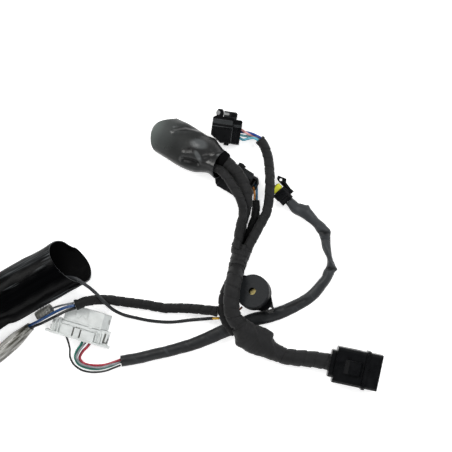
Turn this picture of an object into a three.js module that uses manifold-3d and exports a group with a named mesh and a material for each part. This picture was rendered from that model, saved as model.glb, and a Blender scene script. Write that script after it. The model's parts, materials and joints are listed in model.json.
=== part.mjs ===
// Wiring harness of a small motor vehicle, laid flat as on a bench.
// Millimetres, +Z up. The harness rests on Z = 0 and +X runs along its longest side.
import * as THREE from "three";
import { mergeVertices } from "three/addons/utils/BufferGeometryUtils.js";
import Module from "manifold-3d";

const wasm = await Module();
wasm.setup();

// Layout: points below are given in the flat-lay frame, and the whole lay is then centred on its own box
const LAY_CENTRE = new THREE.Vector2(-53.8, -20.9);

// Clearances
const TOUCH = 0.3; // gap between faces that touch

// Loom and sleeve diameters
const BRANCH_A = 7.6;
const BRANCH_C = 6.5;
const BRANCH_D = 8.5;
const BRANCH_E = 8.6;
const TRUNK = 14;
const TRUNK_TAIL = 14.4;
const THIN_SLEEVE = 3;
const WIRE = 1.8;
const BULLET_WIRE = 2.6;

// Materials, one for each kind of surface
function finish(color, roughness, metalness = 0) {
  return new THREE.MeshStandardMaterial({ color, roughness, metalness });
}
const CLOTH_TAPE = finish(0x262628, 0.85);
const GREY_SLEEVE = finish(0x303335, 0.5);
const GLOSS_SLEEVE = finish(0x08090b, 0.25);
const BOOT_VINYL = finish(0x3c3c3c, 0.4);
const CLEAR_VINYL = finish(0x9aa0a0, 0.3);
const BLACK_NYLON = finish(0x141517, 0.5);
const GREY_NYLON = finish(0x3b3f41, 0.55);
const WHITE_NYLON = finish(0xdfe3e1, 0.5);
const YELLOW_RUBBER = finish(0xcfd12b, 0.5);
const BRASS = finish(0xb5a36a, 0.35, 1);
const WIRE_COLOURS = {
  pink: finish(0xd99a9a, 0.45),
  navy: finish(0x1f3f8f, 0.45),
  sky: finish(0x5aa8bd, 0.45),
  white: finish(0xdde6ec, 0.45),
  orange: finish(0xe09a55, 0.45),
  blue: finish(0x1f4d96, 0.45),
  green: finish(0x2f7d6b, 0.45),
  orangeRed: finish(0xb5542a, 0.45),
  black: finish(0x161618, 0.45),
  red: finish(0xa8293c, 0.45),
  grey: finish(0x8a8f92, 0.45),
  yellow: finish(0xd9a827, 0.45),
};

const harness = new THREE.Group();
harness.position.set(-LAY_CENTRE.x, -LAY_CENTRE.y, 0);

function add(parent, name, geometry, material) {
  const mesh = new THREE.Mesh(geometry, material);
  mesh.name = name;
  parent.add(mesh);
  return mesh;
}

// Group at a place in the lay, turned about Z by an angle in degrees
function station(x, y, z, degrees) {
  const group = new THREE.Group();
  group.position.set(x, y, z);
  group.rotation.z = THREE.MathUtils.degToRad(degrees);
  harness.add(group);
  return group;
}

// Solid operations
function toSolid(geometry) {
  const bare = geometry.clone();
  for (const key of Object.keys(bare.attributes)) {
    if (key !== "position") bare.deleteAttribute(key);
  }
  const merged = mergeVertices(bare, 1e-4);
  return new wasm.Manifold(
    new wasm.Mesh({
      numProp: 3,
      vertProperties: new Float32Array(merged.attributes.position.array),
      triVerts: new Uint32Array(merged.index.array),
    }),
  );
}

function toGeometry(solid) {
  const mesh = solid.getMesh();
  const geometry = new THREE.BufferGeometry();
  geometry.setAttribute("position", new THREE.BufferAttribute(new Float32Array(mesh.vertProperties), 3));
  geometry.setIndex(new THREE.BufferAttribute(new Uint32Array(mesh.triVerts), 1));
  return geometry;
}

// First geometry, joined with those of join and cut by those of cut
function carve(base, { join = [], cut = [] }) {
  let solid = toSolid(base);
  for (const geometry of join) solid = solid.add(toSolid(geometry));
  for (const geometry of cut) solid = solid.subtract(toSolid(geometry));
  return toGeometry(solid);
}

// Box between two corners
function block(x0, x1, y0, y1, z0, z1) {
  const geometry = new THREE.BoxGeometry(x1 - x0, y1 - y0, z1 - z0);
  return geometry.translate((x0 + x1) / 2, (y0 + y1) / 2, (z0 + z1) / 2);
}

// Rectangle with round corners, as a shape about its middle
function roundedRectangle(width, height, radius) {
  const shape = new THREE.Shape();
  const x = width / 2 - radius;
  const y = height / 2 - radius;
  shape.absarc(x, y, radius, 0, Math.PI / 2);
  shape.absarc(-x, y, radius, Math.PI / 2, Math.PI);
  shape.absarc(-x, -y, radius, Math.PI, 1.5 * Math.PI);
  shape.absarc(x, -y, radius, 1.5 * Math.PI, 2 * Math.PI);
  return shape;
}

// Moulded block along X with round long edges: its section is width by height, and it stands on z0
function mouldedBlock(x0, x1, width, height, z0, radius, y = 0) {
  const shape = roundedRectangle(width, height, radius);
  const geometry = new THREE.ExtrudeGeometry(shape, { depth: x1 - x0, bevelEnabled: false, curveSegments: 3 });
  geometry.rotateX(Math.PI / 2).rotateZ(Math.PI / 2);
  return geometry.translate(x0, y, z0 + height / 2);
}

// Outline drawn in X and Z, pulled along Y from y0 to y1
function sideProfile(points, y0, y1) {
  const shape = new THREE.Shape(points.map(([x, z]) => new THREE.Vector2(x, z)));
  const geometry = new THREE.ExtrudeGeometry(shape, { depth: y1 - y0, bevelEnabled: false });
  return geometry.rotateX(Math.PI / 2).translate(0, y1, 0);
}

// Outline drawn in X and Y, pulled up from z0 to z1
function planProfile(points, z0, z1) {
  const shape = new THREE.Shape(points.map(([x, y]) => new THREE.Vector2(x, y)));
  const geometry = new THREE.ExtrudeGeometry(shape, { depth: z1 - z0, bevelEnabled: false });
  return geometry.translate(0, 0, z0);
}

function upright(radius, z0, z1, x, y, sides = 16) {
  const geometry = new THREE.CylinderGeometry(radius, radius, z1 - z0, sides);
  return geometry.rotateX(Math.PI / 2).translate(x, y, (z0 + z1) / 2);
}

// Curves and tubes
function smoothCurve(points) {
  return new THREE.CatmullRomCurve3(points.map((point) => new THREE.Vector3(...point)));
}

function tube(points, diameter, steps, sides = 10) {
  const section = new THREE.Shape();
  for (let i = 0; i < sides; i++) {
    const angle = ((i + 0.5) * 2 * Math.PI) / sides;
    const corner = [(Math.cos(angle) * diameter) / 2, (Math.sin(angle) * diameter) / 2];
    if (i === 0) section.moveTo(...corner);
    else section.lineTo(...corner);
  }
  return new THREE.ExtrudeGeometry(section, { steps, bevelEnabled: false, extrudePath: smoothCurve(points) });
}

// Closed skin over a list of rings with equal counts; a looped skin joins its last ring to its first
function skin(rings, looped = false) {
  const count = rings[0].length;
  const positions = rings.flat().flatMap((point) => point.toArray());
  const indices = [];
  const pairs = looped ? rings.length : rings.length - 1;
  for (let r = 0; r < pairs; r++) {
    const here = r * count;
    const next = ((r + 1) % rings.length) * count;
    for (let i = 0; i < count; i++) {
      const j = (i + 1) % count;
      indices.push(here + i, next + i, next + j, here + i, next + j, here + j);
    }
  }
  if (!looped) {
    const last = (rings.length - 1) * count;
    for (let i = 1; i < count - 1; i++) {
      indices.push(0, i, i + 1, last, last + i + 1, last + i);
    }
  }
  const geometry = new THREE.BufferGeometry();
  geometry.setAttribute("position", new THREE.Float32BufferAttribute(positions, 3));
  geometry.setIndex(indices);
  if (signedVolume(geometry) < 0) geometry.setIndex(indices.reverse());
  return geometry;
}

function signedVolume(geometry) {
  const corner = (i) => new THREE.Vector3().fromBufferAttribute(geometry.attributes.position, i);
  const index = geometry.index.array;
  let volume = 0;
  for (let i = 0; i < index.length; i += 3) {
    volume += corner(index[i]).dot(corner(index[i + 1]).cross(corner(index[i + 2])));
  }
  return volume / 6;
}

// Loft of flattened rings: every station is [x, y, z, half width, half height]
function loft(stations, steps, sides = 12) {
  const path = smoothCurve(stations.map(([x, y, z]) => [x, y, z]));
  const sizes = smoothCurve(stations.map(([, , , width, height]) => [width, height, 0]));
  const rings = [];
  for (let s = 0; s <= steps; s++) {
    const centre = path.getPoint(s / steps);
    const size = sizes.getPoint(s / steps);
    const along = path.getTangent(s / steps);
    const across = new THREE.Vector3(-along.y, along.x, 0).normalize();
    const up = new THREE.Vector3().crossVectors(along, across);
    rings.push(ellipseRing(centre, across, up, size.x, size.y, sides));
  }
  return skin(rings);
}

function ellipseRing(centre, across, up, halfWidth, halfHeight, sides) {
  return Array.from({ length: sides }, (_, i) => {
    const angle = ((i + 0.5) * 2 * Math.PI) / sides;
    return centre
      .clone()
      .addScaledVector(across, Math.cos(angle) * halfWidth)
      .addScaledVector(up, Math.sin(angle) * halfHeight);
  });
}

// Open sleeve of one wall: stations are [along, side, half width, middle height, half height],
// and shear(angle) moves each rim point along the sleeve, at the first and the last ring
function openSleeve(stations, wall, sides, shearFirst, shearLast) {
  const ring = (station, inset) => {
    const [along, side, halfWidth, middle, halfHeight] = station;
    return Array.from({ length: sides }, (_, i) => {
      const angle = (i * 2 * Math.PI) / sides;
      let x = along;
      if (station === stations[0]) x += shearFirst(angle);
      if (station === stations[stations.length - 1]) x += shearLast(angle);
      const y = side + Math.cos(angle) * (halfWidth - inset);
      return new THREE.Vector3(x, y, middle + Math.sin(angle) * (halfHeight - inset));
    });
  };
  const outer = stations.map((station) => ring(station, 0));
  const inner = stations.map((station) => ring(station, wall)).reverse();
  return skin([...outer, ...inner], true);
}

// Routes of the looms, from the branch end to the trunk
const ROUTE_A = [
  [-31.5, 60, 12], [-22.5, 58, 14.5], [-10.5, 51.5, 19.8], [-5.5, 48.5, 21], [-0.5, 44, 22.2], [3, 39, 22.6],
  [7, 32.5, 23.2], [12, 24, 24], [14.5, 15.5, 22], [14.5, 8.5, 18.4], [12.5, 1, 15.4], [11, -7, 14],
  [10, -15, 13.6], [8.8, -19.8, 13.6],
];
const ROUTE_C = [
  [26, 22.5, 5.5], [26.5, 16, 4.6], [26, 8, 3.6], [24, 0, 3.6], [21.5, -8, 3.6], [19, -15, 3.6], [17.4, -20, 3.6],
];
const ROUTE_D = [
  [29.3, 75.6, 7.4], [32.3, 72.4, 6.4], [34.6, 67.5, 5.4], [37, 59.5, 5], [38, 50, 8], [38.3, 41, 12.8], [38.2, 32, 14.6],
  [37.6, 24.5, 13.8], [36.5, 16.5, 11.6], [34.5, 9.5, 10.4], [32, 5, 10.2], [29.5, 0.5, 10.6], [25, -8, 11.4],
  [21.6, -14.2, 11.6], [18.6, -19, 11.8],
];
const ROUTE_E = [
  [-131, -69, 17.7], [-123, -66, 17.6], [-115, -64.5, 15.4], [-103.5, -64.5, 10.4], [-89.5, -66.5, 6], [-71, -69, 4.4],
  [-53.5, -72, 4.4], [-40.5, -72, 5], [-28, -72.5, 7.2], [-17.5, -73.5, 10], [-7.5, -74.5, 12],
];
const ROUTE_FRONT = [
  [9.9, -33.6, 12.6], [9.3, -37, 13.4], [8.4, -41, 17.6], [7, -46.5, 22.6], [5.4, -54.5, 24.6], [4.6, -63.5, 24.2], [4.8, -71, 23.2],
  [6, -77.5, 21.8], [9.6, -83, 20.6], [14.9, -87.4, 19.9],
];
const ROUTE_F = [
  [-18, -81.5, 4], [-29.5, -82.5, 2], [-42, -84, 1.6], [-51.5, -84.5, 1.6], [-64.5, -83.5, 1.6], [-78, -81, 1.8],
  [-89.5, -78, 4], [-97.5, -74, 9.6], [-101.5, -70.6, 14], [-106.5, -65.6, 18], [-112.5, -59, 20], [-119.5, -52.6, 23],
  [-125.1, -48.8, 25], [-129.3, -46.2, 23.6], [-135, -44.9, 19], [-142, -44.8, 14.5], [-150, -47, 9.6], [-157.4, -50.6, 8],
];
const ROUTE_TAIL = [
  [45.4, -111.7, 7.8], [50.4, -113.6, 7.6], [57.5, -115, 7.5], [66, -115.8, 7.5], [78, -117, 7.5], [86.5, -118.4, 7.5], [93.4, -120.1, 7.5],
];

// Stations of the lofted looms: x, y, z, half width, half height
const STATIONS_B = [
  [-25, 70, 12, 5.5, 5.5], [-16.5, 66, 14.5, 5.5, 5.5], [-10, 62.5, 16.5, 5.5, 5.5], [-4, 58.5, 17.8, 5.5, 5.5],
  [2, 54, 18, 5.5, 5.5], [6, 50, 18, 5.5, 5.5], [10.5, 45, 18, 5.5, 5.5], [15, 37, 17.8, 5.3, 5.3],
  [18, 29.5, 17.6, 4.9, 4.9], [18.5, 21.5, 17, 4.6, 4.6], [17.8, 15.8, 12.6, 4.5, 4.5],
  [16.5, 10.5, 8, 4.5, 4.5], [14.5, 3.5, 5.4, 4.5, 4.5], [12.5, -5.5, 4.8, 4.5, 4.5],
  [10.5, -15, 4.7, 4.5, 4.5], [9.2, -19.8, 4.7, 4.5, 4.5],
];
const STATIONS_REAR = [
  [6.9, -32.6, 3.1, 4.2, 2.5], [6, -38.5, 3.8, 4, 3.2], [4, -46.5, 4.8, 3.75, 3.75], [0, -54.5, 6.8, 3.75, 3.75],
  [-2.5, -62, 9.5, 3.75, 3.75], [-3, -69, 11.6, 3.75, 3.75], [-3, -76, 12.8, 3.75, 3.75],
  [-0.5, -83, 13, 3.75, 3.75], [4, -89.4, 13, 3.75, 3.75], [8.2, -94, 13, 3.75, 3.75],
];
const STATIONS_JUNCTION = [
  [13.2, -22.2, 9.3, 9, 9], [12.4, -26.6, 9.8, 7.9, 9.4], [10.6, -31.6, 10.3, 7.3, 9.8],
];
const STATIONS_PATCH = [
  [13.3, -92.2, 17.4, 10, 9.2], [18.4, -96.4, 15.2, 12, 8.6], [25.5, -99.5, 12.2, 12.6, 8], [32.5, -104, 9.8, 11, 8],
  [38.5, -108.2, 8.2, 8.6, 7.6], [44, -111, 7.9, 7.4, 7.4],
];
const STATIONS_G = [
  [57.2, 20.6, 6.3, 4.2, 4.2], [63, 14.7, 6, 4.8, 4.8], [68.6, 11.6, 5.4, 5.8, 4.5], [77.3, 3.3, 5, 5.6, 4.6],
  [83.5, -3, 5.3, 5.2, 5], [87, -9, 5.4, 4.4, 5.1], [88.5, -17.5, 5.6, 4, 5.3], [91.5, -28, 5.6, 4.6, 5.2],
  [91.5, -37, 5.6, 5.2, 5.2], [87, -47.5, 5.6, 5.2, 5.2], [78, -59, 5.4, 5.5, 5.1], [66, -67.5, 5.3, 5.5, 5],
  [53.5, -73.5, 5.2, 5.5, 4.9], [40.5, -78.5, 4.6, 5.8, 4.3], [26.5, -81.5, 4.3, 6, 4], [12.5, -87, 4.3, 6, 4],
  [-3.5, -93, 4.3, 6, 4], [-23, -101.5, 5, 5.6, 4.7], [-42, -107.5, 5.3, 5.2, 5], [-62.5, -112.5, 5.3, 5, 5],
  [-80, -116.5, 5.3, 5, 5], [-92, -118.5, 5.3, 5, 5],
];

function buildLooms() {
  add(harness, "branch_a_loom", tube(ROUTE_A, BRANCH_A, 22), CLOTH_TAPE);
  add(harness, "branch_b_loom", loft(STATIONS_B, 24, 10), CLOTH_TAPE);
  add(harness, "branch_c_loom", tube(ROUTE_C, BRANCH_C, 8), CLOTH_TAPE);
  add(harness, "branch_d_loom", tube(ROUTE_D, BRANCH_D, 18), CLOTH_TAPE);
  add(harness, "branch_e_loom", tube(ROUTE_E, BRANCH_E, 18), CLOTH_TAPE);
  add(harness, "junction_wrap", loft(STATIONS_JUNCTION, 4, 16), CLOTH_TAPE);
  add(harness, "trunk_front", tube(ROUTE_FRONT, TRUNK, 16, 12), CLOTH_TAPE);
  add(harness, "trunk_rear_bundle", loft(STATIONS_REAR, 16, 10), CLOTH_TAPE);
  add(harness, "patch_wrap", loft(STATIONS_PATCH, 8, 16), CLOTH_TAPE);
  add(harness, "trunk_tail", tube(ROUTE_TAIL, TRUNK_TAIL, 6, 12), CLOTH_TAPE);
  add(harness, "sleeve_g", loft(STATIONS_G, 42, 12), GREY_SLEEVE);
  add(harness, "thin_sleeve_f", tube(ROUTE_F, THIN_SLEEVE, 36, 8), GREY_SLEEVE);
}

// Soft boot over the hidden connector: along, side, half width, middle height, half height
const BOOT_STATIONS = [
  [-19.4, 1, 17.4, 10.6, 10.4], [-8, 1.6, 18, 11.2, 11], [3, 1.4, 18, 11.9, 11.7], [11, 1.2, 18.1, 12.3, 11.9],
  [19, 3.1, 17, 13.6, 11], [24, 3.2, 14.4, 15.2, 9.8], [29, 3.4, 12.4, 17, 9.2], [34, 3, 12.3, 18.4, 8.9],
];
const BOOT_WALL = 1.2;
const BOOT_SIDES = 24;
const BOOT_END_BULGE = 13; // how far the middle of the far rim reaches past its sides
const BOOT_TURN = -31.3; // degrees

function buildBoot() {
  const group = station(-36, 68.5, 0, BOOT_TURN);
  const bulge = (angle) => -BOOT_END_BULGE * Math.sin(angle) ** 2;
  const mouth = (angle) => -1.5 * Math.sin(angle);
  add(group, "boot_sleeve", openSleeve(BOOT_STATIONS, BOOT_WALL, BOOT_SIDES, bulge, mouth), BOOT_VINYL);

  // Connector hidden inside, its mating side away from the looms
  const housing = carve(mouldedBlock(-20, 4.5, 20, 11.4, 5, 2, 1.2), {
    join: [sideProfile([[-14, 16], [-2, 16], [-4, 18.4], [-12, 18.4]], -2, 4.4)],
    cut: [block(-21, -17, -6.8, 0.4, 6.8, 14.6), block(-21, -17, 2, 9.2, 6.8, 14.6)],
  });
  add(group, "boot_connector", housing, BLACK_NYLON);
}

// Large sleeve with an oblique mouth
const LARGE_HALF_WIDTH = 22.7;
const LARGE_HALF_HEIGHT = 15;
const LARGE_WALL = 1.4;
const LARGE_LENGTH = 125;
const LARGE_TURN = 29.4; // degrees

function buildLargeSleeve() {
  const group = station(-145.6, -36.8, 0, LARGE_TURN);
  const slant = (angle) => -11.5 * Math.sin(angle) - 4.5 * Math.cos(angle);
  const flat = () => 0;
  const middle = LARGE_HALF_HEIGHT + 0.02;
  const stations = [-LARGE_LENGTH + 23.7, -70, -40, -12, 11.5].map((x) => [
    x, 0, LARGE_HALF_WIDTH, middle, LARGE_HALF_HEIGHT,
  ]);
  add(group, "large_sleeve", openSleeve(stations, LARGE_WALL, 32, flat, slant), GLOSS_SLEEVE);

  // Small connector hidden inside, on the thin sleeve's wires
  const housing = carve(mouldedBlock(-38, -18, 12, 9, 3.6, 1.5, -4), {
    join: [sideProfile([[-34, 12], [-24, 12], [-26, 14], [-32, 14]], -6, -2)],
    cut: [block(-39, -35, -8.4, -4.6, 5.4, 10.6), block(-39, -35, -3.4, 0.4, 5.4, 10.6)],
  });
  add(group, "sleeve_connector", housing, BLACK_NYLON);
}

// Clear boots over the bullet terminals: [along, radius] from the far end to the mouth
const BULLET_WALL = 1;
const BULLET_RADIUS = 2.4;
const BOOT_UPPER = [[-15.5, 3.4], [-11, 4.4], [-4, 4.7], [0, 4.7]];
const BOOT_LOWER = [[-46, 5.6], [-34, 6.6], [-15, 6.4], [-6, 4.8], [0, 4]];

function buildBullet(name, x, y, degrees, profile, pinLength) {
  const group = station(x, y, 0, degrees);
  const stations = profile.map(([along, radius]) => [along, 0, radius, radius + 0.02, radius]);
  const flat = () => 0;
  const cut = (angle) => -1.2 * Math.sin(angle);
  add(group, `bullet_boot_${name}`, openSleeve(stations, BULLET_WALL, 12, flat, cut), CLEAR_VINYL);
  const outline = [
    [0, -pinLength], [1.2, -pinLength], [2, 1 - pinLength], [2, -4.6], [1.5, -4.2], [1.5, -3.8], [BULLET_RADIUS, -3],
    [BULLET_RADIUS, -0.8], [1.6, -0.2], [1.6, 1.5], [0, 1.5],
  ].map(([radius, along]) => new THREE.Vector2(radius, along));
  const mouthHeight = profile[profile.length - 1][1];
  const terminal = new THREE.LatheGeometry(outline, 12).rotateZ(-Math.PI / 2).translate(-5.9, 0, mouthHeight);
  add(group, `bullet_terminal_${name}`, terminal, BRASS);
}

// Top connector: it lies on its side, with its latch towards +Y and its wires at +X
function buildTopConnector() {
  const group = station(-3.4, 84.4, 0, -8);
  const housing = carve(mouldedBlock(-9.2, 9, 21.5, 16, 0, 1.4, -0.75), {
    join: [
      mouldedBlock(-9.2, 9, 2.2, 2.4, 15, 0.7, 3.4),
      block(-7.5, 2, -11.8, -11.2, 3, 13),
      planProfile([[-6.6, 9.8], [-0.6, 9.8], [-0.6, 16], [-1.8, 17.6], [-5.4, 17.6], [-6.6, 16]], 3.5, 12.5),
      block(3, 7.4, -13.2, -11.4, 3, 12),
    ],
    cut: [
      block(-10, 10, 4.6, 10.4, 13.6, 17),
      block(-12, -5.4, -9.6, 8, 2, 12.4),
      block(-8, 8, 4.7, 7.2, 12.6, 14),
      planProfile([[-10, -12], [-10, -5.4], [-9.1, -5.4], [-0.4, -11.5], [-0.4, -12]], -1, 18),
    ],
  });
  add(group, "top_connector_housing", housing, BLACK_NYLON);

  const latch = carve(
    planProfile([[-0.2, 11.2], [10.6, 11.2], [11.6, 12.4], [11.6, 15.2], [10.4, 16.4], [-0.2, 16.4]], 4.5, 11.5),
    {
      join: [block(9.2, 11.4, 6.4, 12, 5.5, 10.5), block(1, 6.5, 12.4, 15.4, 11.2, 12.2)],
      cut: [block(1.4, 8.6, 12.6, 15, 3, 9.5)],
    },
  );
  add(group, "top_connector_latch", latch, GREY_NYLON);

  const cover = carve(mouldedBlock(9.3, 16.4, 20.8, 14, 1, 1.6, -1.1), {
    join: [planProfile([[9.3, 1.5], [16.8, 1.5], [16.8, 8.8], [15.6, 9.8], [9.3, 9.8]], 6, 15.6)],
    cut: [block(13.2, 18, -7.6, 4.6, 3.4, 12.4), block(9, 11.6, 5.9, 12.6, 4.8, 11.2)],
  });
  add(group, "top_connector_rear_cover", cover, BLACK_NYLON);
  add(group, "top_connector_seal", mouldedBlock(13.5, 14.8, 11.4, 8.2, 3.7, 1, -1.5), GREY_NYLON);
}

// Second connector: flat on the floor under two looms, open at its rear for its wires
function buildSecondConnector() {
  const group = station(8.8, 39.6, 0, -32);
  const housing = carve(mouldedBlock(-3.7, 17.4, 24.4, 11.6, 0, 2.4), {
    join: [
      mouldedBlock(-17.4, -3.6, 24.8, 12, 0, 3),
      sideProfile([[-6, 2], [0.8, 2], [0.8, 10.8], [-4.8, 10.8], [-6, 8.6]], 12, 15.6),
      sideProfile([[0.6, 3.4], [10.5, 3.4], [9.6, 8.6], [0.6, 9.6]], 12, 13.4),
    ],
    cut: [block(13.6, 19, -9.6, 9.6, 2.2, 9.4), block(-19, -13.6, -10, 10, 2.4, 9.6)],
  });
  add(group, "second_connector_housing", housing, BLACK_NYLON);
  add(group, "second_connector_seal", mouldedBlock(13.9, 15, 18.4, 6.4, 2.5, 1.2), GREY_NYLON);
}

// Two-way sealed connector: mating side towards -X, its lever on the +Y side
function buildTwoWay() {
  const group = station(48.8, 27.6, 0, -47);
  const housing = carve(mouldedBlock(-4.2, 2.4, 13.2, 10.6, 0.2, 2.6), {
    join: [
      mouldedBlock(-9.8, -4.1, 7.6, 5.6, 2.7, 1.2),
      mouldedBlock(2.3, 8.2, 12, 9.6, 0.7, 2.4),
      leverLoop(),
      block(3.4, 5.2, 5, 9.6, 5.6, 8.8),
    ],
    cut: [block(5.6, 9, -4.6, -0.5, 2.4, 8.2), block(5.6, 9, 0.5, 4.6, 2.4, 8.2)],
  });
  add(group, "two_way_housing", housing, BLACK_NYLON);

  const seal = carve(mouldedBlock(-9.2, -4.5, 9.8, 8, 1.5, 2.2), {
    join: [mouldedBlock(-8.6, -7.6, 10.6, 8.8, 1.1, 2.4), mouldedBlock(-6.4, -5.4, 10.6, 8.8, 1.1, 2.4)],
    cut: [mouldedBlock(-10, -4, 8.2, 6.2, 2.4, 1.4)],
  });
  add(group, "two_way_seal", seal, YELLOW_RUBBER);
}

// Moulded lever of the two-way connector: two arms that meet in a head with an eyelet
function leverLoop() {
  const outline = [
    [-11.4, 5.8], [-3.9, 5.7], [-3.6, 4.6], [1, 4.6], [4, 5.6], [4.4, 9.6], [1.6, 9.2], [-5, 9.9], [-7.3, 12.4], [-14.3, 9], [-13.2, 6.6],
  ];
  const slot = planProfile([[-7.4, 6.8], [-1.2, 6.6], [-1.2, 7.8], [-6.4, 8.4]], 5, 10);
  return carve(planProfile(outline, 5.6, 9), { cut: [upright(1.2, 5, 10, -10, 8.2, 10), slot] });
}

// Piezo sounder: case on a base with two ears, its axis leaning so that one ear props on the grey sleeve
const SOUNDER_RADIUS = 15;
const SOUNDER_HEIGHT = 12.4;
const SOUNDER_TILT = 18; // degrees
const SOUNDER_LEAN = 135; // degrees from +X to the side that the axis leans to
const EAR_PITCH = 40;
const SOUND_HOLE = 6.4;
const BASE_THICKNESS = 2.2;

function buildSounder() {
  const lean = station(25.3, -59.3, 7.36, SOUNDER_LEAN);
  const group = new THREE.Group();
  group.rotation.y = THREE.MathUtils.degToRad(SOUNDER_TILT);
  lean.add(group);

  const outline = [
    [0, BASE_THICKNESS + TOUCH], [SOUNDER_RADIUS - 0.6, BASE_THICKNESS + TOUCH], [SOUNDER_RADIUS - 0.6, 4],
    [SOUNDER_RADIUS, 4], [SOUNDER_RADIUS, SOUNDER_HEIGHT - 0.8], [SOUNDER_RADIUS - 0.8, SOUNDER_HEIGHT],
    [SOUND_HOLE / 2, SOUNDER_HEIGHT], [SOUND_HOLE / 2, SOUNDER_HEIGHT - 1.8], [9, SOUNDER_HEIGHT - 1.8],
    [9, SOUNDER_HEIGHT - 4], [0, SOUNDER_HEIGHT - 4],
  ].map(([radius, height]) => new THREE.Vector2(radius, height));
  const caseShape = new THREE.LatheGeometry(outline, 36).rotateX(Math.PI / 2);
  add(group, "sounder_case", caseShape, GREY_NYLON);

  const disc = upright(8.4, SOUNDER_HEIGHT - 3.6, SOUNDER_HEIGHT - 3.2, 0, 0, 24);
  add(group, "sounder_disc", disc, BRASS);

  const base = new THREE.Shape();
  const reach = EAR_PITCH / 2;
  const earRadius = 3.6;
  base.absarc(-reach, 0, earRadius, Math.PI / 2, 1.5 * Math.PI);
  base.absarc(0, 0, SOUNDER_RADIUS, 1.2 * Math.PI, 1.8 * Math.PI);
  base.absarc(reach, 0, earRadius, -Math.PI / 2, Math.PI / 2);
  base.absarc(0, 0, SOUNDER_RADIUS, 0.2 * Math.PI, 0.8 * Math.PI);
  for (const side of [-1, 1]) {
    const hole = new THREE.Path();
    hole.absarc(side * reach, 0, 1.6, 0, 2 * Math.PI, true);
    base.holes.push(hole);
  }
  const plate = new THREE.ExtrudeGeometry(base, { depth: BASE_THICKNESS, bevelEnabled: false, curveSegments: 8 });
  add(group, "sounder_base", plate, BLACK_NYLON);
}

// White multi-pin connector: flange towards -Y with the wires under it, mating side towards +Y
const WHITE_THICKNESS = 13;

function buildWhiteConnector() {
  const group = station(-158.5, -91.2, 0, -16.3);
  const top = WHITE_THICKNESS;
  const housing = carve(block(5.4, 55.6, 2.2, 14, 0.8, top - 0.6), {
    join: [
      block(13.4, 54, 13.9, 28, 1.2, top - 1),
      planProfile([[13.4, 22], [15.8, 22], [15.8, 28.8], [12.6, 28.8], [12.6, 25]], 2.4, top - 2.4),
      block(24.5, 37, 20, 28.6, top - 1.4, top - 0.2),
      block(31, 34.2, 2.2, 12.6, top - 0.8, top + 0.2),
      ...[0, 1, 2].map((i) => block(3.2, 5.6, 3.4 + i * 3.6, 5 + i * 3.6, 3, top - 3)),
    ],
    cut: [
      sideProfile([[45.6, top - 0.9], [54.4, top - 4.6], [56, top - 4.6], [56, top + 2], [45.6, top + 2]], 14.2, 29),
      block(26.8, 30.2, 1, 13, top - 2, top + 2),
      block(35, 38.4, 1, 13, top - 2, top + 2),
      ...[0, 1, 2, 3].map((i) => block(16 + i * 9.2, 22.6 + i * 9.2, 24.2, 30, 3, top - 4)),
    ],
  });
  add(group, "white_connector_housing", housing, WHITE_NYLON);

  const retainer = carve(block(0, 59, 0, 1.8, 0, top + 0.4), {
    join: [planProfile([[55.9, 1.7], [59, 1.7], [61.6, 5], [61.6, 10.6], [58.4, 12.6], [55.9, 11]], 3, top - 2.4)],
    cut: [
      block(57.6, 60, 4.4, 9.4, 1, top),
      ...[0, 1, 2, 3, 4].map((i) => block(8 + i * 9.4, 14.4 + i * 9.4, -1, 0.9, 2.4, top - 2.4)),
    ],
  });
  add(group, "white_connector_retainer", retainer, WHITE_NYLON);
}

// Main connector at the trunk's end
function buildMainConnector() {
  const group = station(95, -120.4, 0, -12);
  const housing = carve(mouldedBlock(0, 40, 32, 19, 0, 2.6), {
    join: [
      mouldedBlock(-4.5, 0.1, 24, 16.4, 0.1, 3),
      mouldedBlock(26, 29, 34.4, 20.6, 0, 3),
      sideProfile([[8, 18.6], [24, 18.6], [22, 22], [12, 22]], -6, 6),
    ],
    cut: [
      block(36.4, 42, -13, 13, 3, 16),
      ...[-1, 1].map((side) => sideProfile([[9, 6], [20, 6], [20, 13], [9, 13]], side * 16 - 1, side * 16 + 1)),
      block(-6, -1.2, -7.6, 7.6, 0.2, 15.6),
    ],
  });
  add(group, "main_connector_housing", housing, BLACK_NYLON);
}

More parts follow.
